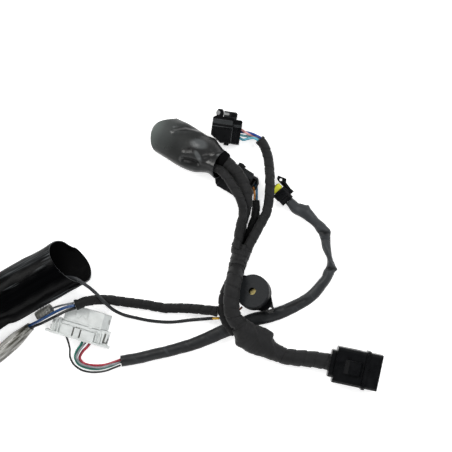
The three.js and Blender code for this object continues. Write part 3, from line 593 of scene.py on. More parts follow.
# Paler greys on the top connector's black housing: painted sheen on its shoulder and painted highlight lines
# on its edges.
SHEEN_GREY = moulded_material("shoulder_sheen", (0.034, 0.037, 0.039), 0.36, specular=0.3)
EDGE_GREY = moulded_material("edge_sheen", (0.085, 0.09, 0.094), 0.36, specular=0.3)
# Pale grey on the top connector's latch: painted highlights on its dome and pad.
LATCH_HIGHLIGHT = moulded_material("latch_pad_painted_highlight", (0.26, 0.265, 0.265), 0.45, specular=0.3)
BOOT_VINYL = boot_material()
# Near black on the inner skins of the open sleeves and on the boot's neck: painted shade.
INSIDE_SHADE = moulded_material("sleeve_inside_painted_shade", (0.0016, 0.0016, 0.0018), 0.7, specular=0.06)
CLEAR_VINYL = clear_vinyl_material()
BLACK_NYLON = moulded_material("black_nylon_moulded", (0.0035, 0.0038, 0.0045), 0.3, specular=0.2)
# A paler copy of the black nylon, used on the second connector's body.
PALER_BLACK = moulded_material("black_nylon_paler", (0.01, 0.0105, 0.0115), 0.4, specular=0.25)
GREY_NYLON = moulded_material("grey_nylon_moulded", (0.021, 0.023, 0.0245), 0.42, specular=0.3)
WHITE_NYLON = moulded_material("white_nylon_moulded", (0.73, 0.755, 0.745), 0.42, tint=0.12)
YELLOW_RUBBER = moulded_material("yellow_rubber_moulded", (0.9, 0.9, 0.05), 0.5)
BRASS = brass_material()
SHADED_SLOT = moulded_material("slot_shaded", (0.14, 0.14, 0.13), 0.7, specular=0.1)
NODE_MATERIALS = {
    "sounder_case": SOUNDER_CASE,
    "wire_blue": wire_material("wire_pale_blue_insulation", (0.07, 0.22, 0.4)),
    "wire_white": wire_material("wire_pale_teal_insulation", (0.16, 0.45, 0.5)),
    "bullet_wire_blue": wire_material("wire_dull_blue_insulation", (0.016, 0.065, 0.2)),
}
SLOT_MATERIALS = {
    "cloth_tape": TAPE,
    "grey_sleeve": GREY_SLEEVE,
    "gloss_sleeve": GLOSS_SLEEVE,
    "boot_vinyl": BOOT_VINYL,
    "clear_vinyl": CLEAR_VINYL,
    "black_nylon": BLACK_NYLON,
    "grey_nylon": GREY_NYLON,
    "white_nylon": WHITE_NYLON,
    "yellow_rubber": YELLOW_RUBBER,
    "brass": BRASS,
}
for entry in frame["record"]["materials"]:
    if entry["slot"].startswith("wire_"):
        color = tuple(entry["base_color"][:3])
        SLOT_MATERIALS[entry["slot"]] = wire_material(entry["slot"] + "_insulation", color)
SLOTS = {entry["node"]: entry["material_slot"] for entry in frame["record"]["subparts"]}


def finish_of(node):
    """Material of a node: its own one, or that of its slot."""
    return NODE_MATERIALS.get(node, SLOT_MATERIALS[SLOTS[node]])


# Routes of the looms and sleeves, in millimetres of the lay
ROUTE_A = [
    (-31.5, 60, 12), (-22.5, 58, 14.5), (-10.5, 51.5, 19.8), (-5.5, 48.5, 21), (-0.5, 44, 22.2),
    (3, 39, 22.6), (7, 32.5, 23.2), (12, 24, 24), (14.5, 15.5, 22), (14.5, 8.5, 18.4), (12.5, 1, 15.4),
    (11, -7, 14), (10, -15, 13.6), (8.8, -19.8, 13.6)]
STATIONS_C = [
    (26, 22.5, 5.5, 3.3, 3.3), (26.2, 16, 4.8, 3.6, 3.5), (25.8, 9, 4.3, 3.8, 3.7),
    (23.5, 0, 4.3, 4.4, 3.9), (20.6, -7.5, 4.3, 4.4, 3.9), (18.4, -14, 4.3, 3.8, 3.5),
    (17, -19.6, 4.4, 3.4, 3.4)]
ROUTE_D = [
    (29.3, 75.6, 7.4), (32.3, 72.4, 6.4), (34.6, 67.5, 5.4), (37, 59.5, 5), (38, 50, 8), (38.3, 41, 12.8),
    (38.2, 32, 14.6), (37.6, 24.5, 13.8), (36.5, 16.5, 11.6), (34.5, 9.5, 10.4), (32, 5, 10.2),
    (29.5, 0.5, 10.6), (25, -8, 11.4), (21.6, -14.2, 11.6), (18.6, -19, 11.8)]
ROUTE_E = [
    (-131, -69, 17.7), (-123, -66, 17.6), (-115, -64.5, 15.4), (-103.5, -64.5, 10.4), (-89.5, -66.5, 6),
    (-71, -69, 4.4), (-53.5, -72, 4.4), (-40.5, -72, 5), (-28, -72.5, 7.2), (-17.5, -73.5, 10),
    (-7.5, -74.5, 12)]
ROUTE_FRONT = [
    (9.9, -33.6, 12.6), (9.3, -37, 13.4), (8.4, -41, 17.6), (7, -46.5, 22.6), (5.4, -54.5, 24.6),
    (4.6, -63.5, 24.2), (4.8, -71, 23.2), (6, -77.5, 21.8), (9.6, -83, 20.6), (14.9, -87.4, 19.9)]
ROUTE_F = [
    (-11.4, -80.9, 7.1), (-18, -81.5, 4), (-29.5, -82.5, 2), (-42, -84, 1.6), (-51.5, -84.5, 1.6),
    (-64.5, -83.5, 1.6), (-78, -81, 1.8), (-89.5, -78, 4), (-97.5, -74, 9.6), (-101.5, -70.6, 14),
    (-106.5, -65.6, 18), (-112.5, -59, 20), (-119.5, -52.6, 23), (-125.1, -48.8, 25), (-129.3, -46.2, 23.6),
    (-135, -44.9, 19), (-142, -44.8, 14.5), (-150, -47, 9.6), (-157.4, -50.6, 8)]
ROUTE_TAIL = [
    (45.4, -111.7, 7.8), (50.4, -113.6, 7.6), (57.5, -115, 7.5), (66, -115.8, 7.5), (78, -117, 7.5),
    (86.5, -118.4, 7.5), (93.4, -120.1, 7.5)]
STATIONS_B = [
    (-25, 70, 12, 5.5, 5.5), (-16.5, 66, 14.5, 5.5, 5.5), (-10, 62.5, 16.5, 5.5, 5.5),
    (-4, 58.5, 17.8, 5.5, 5.5), (2, 54, 18, 5.5, 5.5), (6, 50, 18, 5.5, 5.5), (10.5, 45, 18, 5.5, 5.5),
    (15, 37, 17.8, 5.3, 5.3), (18, 29.5, 17.6, 4.9, 4.9), (18.5, 21.5, 17, 4.6, 4.6),
    (17.8, 15.8, 12.6, 4.5, 4.5), (16.5, 10.5, 8, 4.5, 4.5), (14.5, 3.5, 5.4, 4.5, 4.5),
    (12.5, -5.5, 4.8, 4.5, 4.5), (10.5, -15, 4.7, 4.5, 4.5), (9.2, -19.8, 4.7, 4.5, 4.5)]
STATIONS_REAR = [
    (6.9, -32.6, 3.1, 4.2, 2.5), (6, -38.5, 3.8, 4, 3.2), (4, -46.5, 4.8, 3.75, 3.75),
    (0, -54.5, 6.8, 3.75, 3.75), (-2.5, -62, 9.5, 3.75, 3.75), (-3, -69, 11.6, 3.75, 3.75),
    (-3, -76, 12.8, 3.75, 3.75), (-0.5, -83, 13, 3.75, 3.75), (4, -89.4, 13, 3.75, 3.75),
    (8.2, -94, 13, 3.75, 3.75)]
STATIONS_JUNCTION = [
    (14.6, -16.4, 8.9, 9.2, 8.6), (13.9, -19.2, 9.1, 9.3, 8.9), (13.2, -22.2, 9.3, 9, 9),
    (12.4, -26.6, 9.8, 7.9, 9.4), (10.8, -31.6, 11.4, 7.5, 9.6), (9.7, -36, 13.4, 7.3, 8.4)]
STATIONS_PATCH = [
    (12.2, -86.4, 18.8, 8.2, 8.9), (15.6, -91, 17.4, 10.2, 9.1), (19.6, -95.6, 15.2, 12, 8.6),
    (25.5, -99.5, 12.2, 12.6, 8), (32.5, -104, 9.8, 11, 8), (38.5, -108.2, 8.2, 8.6, 7.7),
    (44, -111, 7.9, 7.7, 7.6), (47.4, -112.5, 7.8, 7.5, 7.5)]
STATIONS_G = [
    (55.2, 22, 5.8, 3.8, 3.8), (57.6, 19.6, 6, 4.3, 4.2), (61.3, 15.8, 6, 5, 4.6),
    (67.8, 13, 5.4, 5.7, 4.4), (78.2, 3.8, 5, 4.2, 4.6), (84.6, -2.6, 5.3, 4.6, 5),
    (86.4, -7.2, 5.4, 4.9, 5), (87.4, -12.2, 5.4, 4.2, 5), (88.2, -18.5, 5.4, 3.9, 5),
    (90.4, -26.5, 5.2, 2.5, 4.8), (91.3, -30.2, 5.2, 2.6, 4.8), (92, -36.6, 5.4, 4.2, 4.8),
    (90.6, -40.6, 5.6, 4.5, 5), (88.6, -45, 5.6, 4.3, 5), (84.2, -50.8, 5.6, 4.7, 5.2),
    (77, -59.6, 5.4, 5, 5.1), (65.5, -67.6, 5.3, 5.2, 5), (53.5, -73.5, 5.2, 5.5, 4.9),
    (40.5, -78.5, 4.6, 5.8, 4.3), (26.5, -81.5, 4.3, 6, 4), (12.5, -87, 4.3, 6, 4), (-3.5, -93, 4.3, 6, 4),
    (-23, -101.5, 5, 5.6, 4.7), (-42, -107.5, 5.3, 5.2, 5), (-62.5, -112.5, 5.3, 5, 5),
    (-80, -116.5, 5.3, 5, 5), (-92, -118.5, 5.3, 5, 5)]
FOLDS_G = [
    ((82, -5), (90, -6.6), -1.5, 1.0), ((83.5, -9.4), (90.6, -6.8), 0.8, 0.8),
    ((84, -11.4), (90, -11.6), -1.1, 1.0), ((86.6, -37), (95, -37.6), -1.6, 1.1),
    ((89.4, -29), (95, -36.4), 0.8, 0.9), ((85, -15), (91.5, -27), 0.8, 1.2),
    ((88.6, -14), (90, -25), -0.8, 1.0), ((68.2, -64.7), (52.6, -71.6), -1.0, 1.1),
    ((60, 14), (76, 1.5), 0.7, 1.6), ((80, -50), (66, -64.6), 0.6, 1.5)]
CORNERS_G = [
    ((71.2, 16.4), (72.6, 18), 1.5, 1.9), ((90, -3.4), (91.2, -5.4), 1.0, 1.9),
    ((95.4, -37.6), (97, -38), 1.8, 1.7), ((80.2, -2), (80.6, -5), 0.9, 1.8),
    ((85.6, -39), (85, -41.6), 0.8, 1.6)]
WIRE_ROUTES = {
    "wire_pink": (2.1, [
        (12.9, 84.6, 9.8), (15.6, 82.9, 10.6), (18.5, 80.9, 10), (23, 79, 7.4), (29.1, 76.9, 5.4)]),
    "wire_navy": (2.2, [(12.6, 82.4, 6.6), (15.5, 82.1, 7), (19, 82, 7.6), (24, 80.4, 9), (30.6, 77.2, 8)]),
    "wire_sky": (2.3, [
        (11.8, 77, 9.4), (15, 75.4, 9.4), (19.5, 76.4, 9.8), (24, 77, 10.6), (28, 75.4, 9.6)]),
    "wire_white": (2.2, [
        (12.1, 79.8, 7.4), (15.2, 79.2, 7), (19, 78.6, 6.4), (23.6, 77.6, 5.4), (27.6, 75.6, 6.4)]),
    "wire_orange": (WIRE, [(23.9, 34.2, 7.4), (24.8, 31.5, 7.6), (25, 27.5, 7.2), (24.8, 22.9, 6.6)]),
    "wire_clear": (2.0, [(22.5, 32.3, 5), (24, 30, 4.8), (25.6, 27, 4.4), (26, 22.9, 4.2)]),
    "wire_blue": (2.1, [(25.4, 36.9, 6), (26.8, 34.2, 6.4), (27.1, 29.5, 6.6), (27, 22.9, 6.2)]),
    "wire_green": (WIRE, [(51.1, 21.6, 5.3), (52.8, 20.2, 5.8), (54.9, 19.9, 6.2)]),
    "wire_brown": (WIRE, [(54.7, 25, 5.3), (56.6, 23.4, 5.8), (57.9, 22, 6.2)]),
    "wire_sounder": (WIRE, [(14.2, -70.8, 9.5), (11, -73.5, 9), (6, -74.5, 10.5), (1.4, -73.2, 12.2)]),
    "wire_yellow": (2.5, [(-17.6, -81.4, 4.1), (-12, -81, 6.8), (-6.2, -80.6, 11.6)]),
    "bullet_wire_blue": (BULLET_WIRE, [
        (-131.6, -68.9, 19.5), (-140.5, -71.2, 18), (-149, -75, 14.4), (-157, -79.4, 11),
        (-163.5, -83, 9.2), (-168.6, -85.3, 6.4), (-172.4, -87.3, 4.2), (-174.6, -89.2, 4)]),
    "bullet_wire_black": (BULLET_WIRE, [
        (-130.9, -71.2, 16.9), (-140.5, -74.6, 16.4), (-147.5, -78.2, 16.2), (-155, -82, 10.8),
        (-162.5, -85.6, 4.8), (-168, -87.9, 4), (-170.8, -89.4, 4), (-173, -91.3, 4)]),
    "bullet_wire_grey": (WIRE, [
        (-132.8, -66.9, 16.9), (-139, -68.2, 14.6), (-146, -70, 8.6), (-151.5, -71.9, 5),
        (-156.4, -74.3, 4.7)]),
    "loom_wire_black": (WIRE, [
        (-140.1, -96.3, 7), (-138.6, -100.5, 7), (-137, -107.5, 5.4), (-137, -115, 3), (-134, -121.5, 1.2),
        (-127, -126.6, 1.2), (-117, -128.6, 1.2), (-106, -127.4, 1.4), (-98.5, -124.6, 2.4),
        (-92.6, -122.3, 3.4)]),
    "loom_wire_teal": (2.5, [
        (-125.6, -100.6, 7), (-127, -104, 6.8), (-130.8, -109.5, 5), (-132.4, -115.5, 2.6),
        (-130, -121, 1.2), (-122.5, -124.6, 1.2), (-113, -125.6, 1.2), (-103, -123.4, 2),
        (-92.6, -119.2, 3.4)]),
    "loom_wire_red": (2.6, [
        (-119, -102.4, 7), (-121.3, -105.5, 6.8), (-126, -110.5, 5.6), (-128.5, -116, 3.4),
        (-125.6, -120.4, 1.6), (-117.5, -122.6, 1.2), (-108, -122.4, 1.4), (-100, -120.2, 3),
        (-92.6, -117.4, 4.6)]),
    "loom_wire_grey": (WIRE, [
        (-122.3, -101.5, 7), (-124.8, -104.4, 8.4), (-128.6, -109.6, 8.4), (-131, -115.5, 5.4),
        (-127.6, -120.8, 3.8), (-119.5, -123.6, 3.4), (-110, -124.2, 3.4), (-101, -121.8, 4.6),
        (-92.6, -119.6, 6.4)]),
}


# Looms
def loft_piece(name, node, stations, relief, material, sides=TUBE_SIDES):
    """Lofted tube that stands for a CAD node, which it hides."""
    rings, centres, lengths = ring_grid(smooth_rows(stations), sides, relief)
    girth = 2 * math.pi * stations[0][3]
    piece = grid_piece(name, rings, lengths, girth, material)
    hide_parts(node)
    return piece


def build_looms():
    """Taped looms: lofts along their routes with lapped tape, in the plain tape or in its darker copy as
    painted shade.
    """
    routes = (
        ("branch_a", with_size(ROUTE_A, BRANCH_A), 1.0), ("branch_b", STATIONS_B, 2.0),
        ("branch_c", STATIONS_C, 3.0), ("branch_d", with_size(ROUTE_D, BRANCH_D), 4.0),
        ("branch_e", with_size(ROUTE_E, BRANCH_E), 5.0))
    for name, stations, seed in routes:
        relief = tape_relief(TAPE_WIDTH, 0.4, seed, 0.35)
        # Branches C and E get the tape darkened as painted shade.
        tape = SHADE_PAINTED_TAPE if name in ("branch_c", "branch_e") else TAPE
        loft_piece(name + "_taped", name + "_loom", stations, relief, tape)
    trunk = (
        ("trunk_front", with_size(ROUTE_FRONT, TRUNK), 6.0), ("trunk_rear_bundle", STATIONS_REAR, 7.0),
        ("trunk_tail", with_size(ROUTE_TAIL, TRUNK_TAIL), 8.0))
    for name, stations, seed in trunk:
        relief = tape_relief(TAPE_WIDTH, 0.55, seed)
        # The rear bundle gets the tape darkened as painted shade.
        tape = SHADE_PAINTED_TAPE if name == "trunk_rear_bundle" else TAPE
        loft_piece(name + "_taped", name, stations, relief, tape, 40)
    loft_piece("junction_taped", "junction_wrap", STATIONS_JUNCTION, junction_relief, TAPE,
               sides=64)


def build_sleeves():
    """The flattened sleeve G with its kinks, and the thin sleeve F."""
    kinked = sleeve_relief(1.0, 0.18, FOLDS_G, CORNERS_G)
    loft_piece("sleeve_g_soft", "sleeve_g", STATIONS_G, kinked, GREY_SLEEVE, 64)
    loft_piece("thin_sleeve_f_soft", "thin_sleeve_f", with_size(ROUTE_F, THIN_SLEEVE),
               sleeve_relief(2.0, 0.08), GREY_SLEEVE, 20)


def build_patch():
    """Wide tape patch: a loft with folds across it, a flap that rises along one side, and a torn edge."""
    folds = [
        ((18, -84), (9, -99), 0.5, 1.0), ((24, -88), (33, -112), 0.5, 1.0), ((28, -89), (38, -96), 0.9, 1.4),
        ((38, -98), (46, -118), 0.6, 1.1), ((22, -87), (14, -104), -0.5, 0.9)]

    def relief(points, s, angle):
        """Lift of the patch: slow crumple, flap, torn edge and folds."""
        crumple = 0.25 * lumps(s * 1.1, angle, 3.0)
        side = np.minimum(angle, 2 * math.pi - angle)
        rise = np.clip((s - 17) / 14, 0, 1) * np.clip((31.4 - s) / 0.8, 0, 1)
        flap = 3.4 * rise * np.exp(-((side / 0.55) ** 2))
        jag = 1.8 * np.exp(-(((s - 11) / 2.2) ** 2)) * np.exp(-(((angle - 3.3) / 0.5) ** 2))
        lifted = fold_lift(points, folds) * np.clip(np.sin(angle) + 0.3, 0, 1)
        return crumple + flap + jag + lifted

    loft_piece("patch_crumpled", "patch_wrap", STATIONS_PATCH, relief, TAPE, sides=72)


# Open sleeves
def open_sleeve(name, node, stations, wall, place, turn, shears, materials, lift, sides, step=0.8):
    """Sleeve with an outer and an inner skin: P = (x + shear(a), y + w cos a, z + h sin a) on both, the
    shear fading from each rim over a third of the length, and lift(q, a) standing out along the ring.
    The materials are those of the outside, the inside and the rims."""
    rows = smooth_rows([(s[0], 0, 0, *s) for s in stations])
    rows, lengths = even_rows(rows, step)
    angle = np.arange(sides) * 2 * math.pi / sides
    share = (lengths / lengths[-1])[:, None]
    shear = shears[0](angle) * np.clip(1 - 3 * share, 0, 1) ** 1.5
    shear = shear + shears[1](angle) * np.clip(3 * share - 2, 0, 1) ** 1.5
    skins = []
    for inset in (0.0, wall):
        x = rows[:, 3:4] + shear
        y = rows[:, 4:5] + np.cos(angle) * (rows[:, 5:6] - inset)
        z = rows[:, 6:7] + np.sin(angle) * (rows[:, 7:8] - inset)
        skin = placed(np.stack([x, y, z], -1), place, turn)
        out = placed(np.stack([0 * x, np.cos(angle) + 0 * x, np.sin(angle) + 0 * x], -1), (0, 0, 0), turn)
        skin = skin + lift(skin, angle)[..., None] * out
        skin[..., 2] = np.maximum(skin[..., 2], BENCH_GAP + inset)
        skins.append(skin)
    rings = np.concatenate([skins[0], skins[1][::-1]])
    both = np.concatenate([lengths, lengths[::-1]])
    piece = grid_piece(name, rings, both, 2 * math.pi * stations[0][2], materials[0], looped=True)
    for material in materials[1:]:
        piece.data.materials.append(material)
    inner_and_rim = (1, 2) if len(materials) == 3 else (0, 0)
    count = len(lengths) - 1
    rows_of_index = [0] * count + [inner_and_rim[1]] + [inner_and_rim[0]] * count + [inner_and_rim[1]]
    piece.data.polygons.foreach_set("material_index", np.repeat(rows_of_index, sides))
    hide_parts(node)
    return piece


def build_boot():
    """Wrinkled boot: ridges, valleys and a bulge on its upper side, an oblique mouth at each end, and the
    dark taped neck that the looms come out of, coloured near black as painted shade inside the mouth."""
    stations = [
        (-19.4, 1, 17.4, 10.6, 10.4), (-8, 1.6, 18, 11.2, 11), (3, 1.4, 18, 11.9, 11.7),
        (11, 1.7, 17.6, 12.3, 11.9), (19, 3.3, 17.1, 13.6, 11), (24, 3.8, 14.7, 15.2, 9.8),
        (29, 4, 12.7, 17, 9.2), (36, 2.8, 12.3, 18.2, 8.9)]
    folds = [
        ((-45, 81.2), (-40, 82.8), (-34.8, 83.2), (-28, 82.4), (-22, 80.6), 1.0, 2.0),
        ((-44, 85), (-35, 87), (-26, 84.6), -1.0, 2.2), ((-21, 69.5), (-15, 67.5), 1.5, 7.0),
        ((-36, 62.4), (-30, 62.2), (-24.4, 60.2), 0.9, 2.6),
        ((-37, 57.6), (-31, 56.4), (-25, 54.4), -2.3, 2.7),
        ((-19, 60.2), (-11, 61.2), (-3.4, 63.8), 0.6, 1.8),
        ((-23, 55.6), (-16, 54), (-11.4, 51.8), 0.8, 1.8)]

    def lift(points, angle):
        """Small crossed waves, and the folds on the side that faces up."""
        wrinkles = 0.12 * np.sin(points[..., 0] / 7.0 + 2 * angle) * np.sin(points[..., 1] / 9.0)
        return wrinkles + fold_lift(points, folds) * np.clip(2 * np.sin(angle), 0, 1)

    shears = (
        lambda a: -13 * np.abs(np.sin(a)) ** (1.8 + 0.7 * np.cos(a)),
        lambda a: -5 * np.sin(a) - 1.5 - 1.5 * np.cos(a))
    open_sleeve("boot_sleeve_soft", "boot_sleeve", stations, 1.2, BOOT_PLACE, BOOT_TURN, shears,
                (BOOT_VINYL, INSIDE_SHADE, RIM_HIGHLIGHT), lift, 180, 0.5)
    neck = [
        (-13, 64, 15.8, 6.4, 6.4), (-8, 61.4, 16.8, 7.1, 7.1), (-4.4, 59.1, 17.4, 7.4, 7.4),
        (-1.6, 57, 17.7, 7.3, 7.2), (0, 55.8, 17.8, 6.2, 6.2)]
    rings, _, lengths = ring_grid(smooth_rows(neck), 48, tape_relief(TAPE_WIDTH, 0.2, 11.0))
    # Painted shade: the neck is near black, for the shade inside the boot's mouth.
    grid_piece("boot_neck_shaded_tape", rings, lengths, 2 * math.pi * 7, INSIDE_SHADE)


def build_large_sleeve():
    """Large sleeve with an oblique mouth whose lip is dented and squared."""
    stations = [(x, 0, 22.7, 15.02, 15) for x in (-101.3, -70, -40, -12, 11.5)]
    dents = [
        ((-138, -14), (-135.6, -17.4), -3.2, 2.8), ((-131, -15), (-129, -18), 0.9, 3.0),
        ((-127, -19), (-125, -22), 1.2, 4.0), ((-118, -38), (-119, -41), -1.0, 5.0),
        ((-200, -88), (-190, -86), -2.0, 5.0), ((-170, -24), (-160, -20), -0.6, 5.0)]

    def lift(points, angle):
        """Slow unevenness and the dents."""
        return 0.22 * lumps(points[..., 0] * 0.25, angle * 2, 5.0) + fold_lift(points, dents)

    shears = (lambda a: 0 * a, lambda a: -11.5 * np.sin(a) - 4.5 * np.cos(a))
    open_sleeve("large_sleeve_soft", "large_sleeve", stations, 1.0, LARGE_PLACE, LARGE_TURN, shears,
                (GLOSS_SLEEVE, INSIDE_SHADE, RIM_HIGHLIGHT), lift, 144)


def build_bullet_boots():
    """Clear covers of the two bullet terminals: the short one ribbed, the long one nearly smooth."""
    boots = (
        ("upper", (-153.1, -72.6, 0), 27, 0.2, ((-15.5, 3.4), (-11, 4.4), (-4, 4.7), (0, 4.7))),
        ("lower", (-171.6, -88.2, 0), 42, 0.05, ((-46, 5.6), (-34, 6.6), (-15, 6.4), (-6, 4.8), (0, 4))))
    for name, place, turn, rib, profile in boots:
        stations = [(x, 0, radius, radius + 0.02, radius) for x, radius in profile]
        direction = np.array([math.cos(math.radians(turn)), math.sin(math.radians(turn))])

        def lift(points, angle):
            """Ribs across the cover: r cos(2 pi x / 2.8), fading underneath."""
            along = (points[..., :2] - np.array(place[:2])) @ direction
            return rib * np.cos(2 * math.pi * along / 2.8) * np.clip(np.sin(angle) + 1.1, 0, 1)

        shears = (lambda a: 0 * a, lambda a: -1.2 * np.sin(a))
        open_sleeve("bullet_cover_" + name, "bullet_boot_" + name, stations, 0.9, place, turn, shears,
                    (CLEAR_VINYL,), lift, 40, 0.35)


# Wires
def build_wires():
    """Single wires: thin lofts along their routes."""
    for node, (diameter, route) in WIRE_ROUTES.items():
        relief = sleeve_relief(len(node), 0.03)
        loft_piece(node + "_insulated", node, with_size(route, diameter), relief, finish_of(node),
                   16)


# Moulded details: closed prisms with softened edges in one piece
def box(x0, x1, y0, y1, z0, z1, z_far=None):
    """Plan and heights of a block, whose top may slope from z1 at x0 to z_far at x1."""
    far = z1 if z_far is None else z_far
    return [(x0, y0), (x1, y0), (x1, y1), (x0, y1)], z0, (z1, far, far, z1)


def bar(start, end, width, z0, z1):
    """Plan and heights of a straight bar from start to end."""
    start, end = np.array(start, float), np.array(end, float)
    along = (end - start) / np.linalg.norm(end - start)
    side = np.array([along[1], -along[0]]) * width / 2
    return [start + side, end + side, end - side, start - side], z0, (z1,) * 4


def moulded_piece(name, prisms, place, turn, slot, nodes=(), edge=0.3, material=None):
    """Closed prisms: each has its plan counter-clockwise at its low height and at its top heights."""
    points = []
    faces = []
    for plan, low, tops in prisms:
        first = len(points)
        count = len(plan)
        points.extend((x, y, low) for x, y in plan)
        points.extend((x, y, top) for (x, y), top in zip(plan, tops))
        faces.append(tuple(first + i for i in reversed(range(count))))
        faces.append(tuple(first + count + i for i in range(count)))
        for i in range(count):
            k = (i + 1) % count
            faces.append((first + i, first + k, first + count + k, first + count + i))
    mesh = bpy.data.meshes.new(name)
    mesh.from_pydata(lay(placed(points, place, turn)).tolist(), [], faces)
    mesh.polygons.foreach_set("use_smooth", [True] * len(faces))
    piece = bpy.data.objects.new(name, mesh)
    bpy.context.scene.collection.objects.link(piece)
    piece.data.materials.append(material or SLOT_MATERIALS[slot])
    soften(piece, edge / 1000)
    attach(piece, "root")
    if nodes:
        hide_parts(*nodes)
    return piece


def soften(piece, width):
    """Rounded edges of a given width in metres where two faces meet at an angle."""
    bevel = piece.modifiers.new("moulded_edges", "BEVEL")
    bevel.width = width
    bevel.segments = 3
    bevel.limit_method = "ANGLE"
    bevel.angle_limit = math.radians(32)
    bevel.harden_normals = True


def build_white_connector():
    """Housing with a broad upper plate and a sloped side, ribs, slots, mouldings and a latch tab."""
    place, turn = (-158.5, -91.2, 0), -16.3
    body = [
        box(4.6, 55.8, 1.6, 14.2, 0.8, 10.4), box(13, 46.8, 13.9, 28.4, 1.2, 11.8),
        box(46.6, 53, 14.6, 28, 1.2, 11.6, 5.4), box(12.6, 23.3, 1.8, 10, 9.8, 11.9),
        box(24.6, 29.6, 1.8, 9.6, 9.8, 11.7), box(30.9, 43, 1.8, 9.4, 9.8, 11.9),
        box(12.6, 50, 10.6, 13.2, 9.8, 11.5), box(49.6, 51, 2.4, 13.4, 9.8, 11.6),
        box(53, 54.4, 4.8, 12.6, 8, 12.5), box(4.2, 6.4, 8.6, 13.6, 3, 9.6), box(3.4, 4.8, 3, 6.4, 3, 8.6)]
    ribs = [
        bar((6.7, 12.6), (8, 2), 0.9, 10, 12), bar((9.6, 12.9), (11, 2), 0.9, 10, 12.2),
        bar((44, 12.6), (44.9, 2), 0.9, 10, 12.2), bar((47.8, 12.9), (48.6, 2), 0.9, 10, 12.2)]
    mouldings = [
        bar((22.2, 19), (22.2, 27.4), 0.5, 11.6, 12.4), bar((33, 19.4), (33, 27.8), 0.6, 11.6, 12.5),
        bar((22, 27.6), (33.2, 27.8), 0.5, 11.6, 12.3), bar((25.4, 18.4), (28.1, 22), 0.5, 11.6, 12.3),
        bar((28.1, 22), (32, 19), 0.5, 11.6, 12.3), bar((24, 18.4), (25.4, 18.4), 0.5, 11.6, 12.2),
        bar((15, 10.1), (24.6, 10.3), 0.5, 11.3, 12.2), bar((31.6, 10), (38.1, 9.4), 0.5, 11.3, 12.2),
        bar((38.1, 9.4), (40.4, 11.6), 0.5, 11.3, 12.1), bar((14, 15.2), (45.6, 15.6), 0.4, 11.6, 12.1),
        bar((15, 26), (15.6, 17), 0.4, 11.6, 12.0), bar((36, 13.4), (39.6, 13.6), 1.6, 10.4, 12.3)]
    moulded_piece("white_connector_body", body + ribs + mouldings, place, turn, "white_nylon",
                  ("white_connector_housing",), 0.28)
    pocket_starts = [8 + 9.4 * k for k in range(5)]
    walls = zip([0, *(x + 6.4 for x in pocket_starts)], [*pocket_starts, 58.4])
    flange = [box(x0, x1, 0, 1.1, 2.2, 10.8) for x0, x1 in walls]
    flange += [
        box(0, 58.4, 0.8, 1.8, 0, 13.4), box(0, 58.4, 0, 1.1, 10.6, 13.4), box(0, 58.4, 0, 1.1, 0, 2.4)]
    moulded_piece("white_connector_flange", flange, place, turn, "white_nylon",
                  ("white_connector_retainer",), 0.2)
    slots = [
        bar((23.95, 2.4), (23.95, 9.6), 0.8, 9.6, 11.3), bar((30.2, 2.4), (30.4, 9.4), 0.8, 9.6, 11.3),
        bar((51.4, 4), (52.3, 12), 0.8, 9.6, 11.2), bar((51.4, 3.9), (55, 4.2), 0.8, 9.6, 11.0),
        bar((55, 4.4), (55.5, 8.4), 0.6, 9.6, 11.2), bar((25.6, 10.1), (26.1, 10.7), 0.7, 10.4, 11.7),
        bar((28, 10.1), (28.6, 10.7), 0.7, 10.4, 11.7), bar((51.4, 24.4), (52.4, 20.4), 0.5, 5.0, 7.0)]
    moulded_piece("white_connector_slots", slots, place, turn, "white_nylon", edge=0.1, material=SHADED_SLOT)


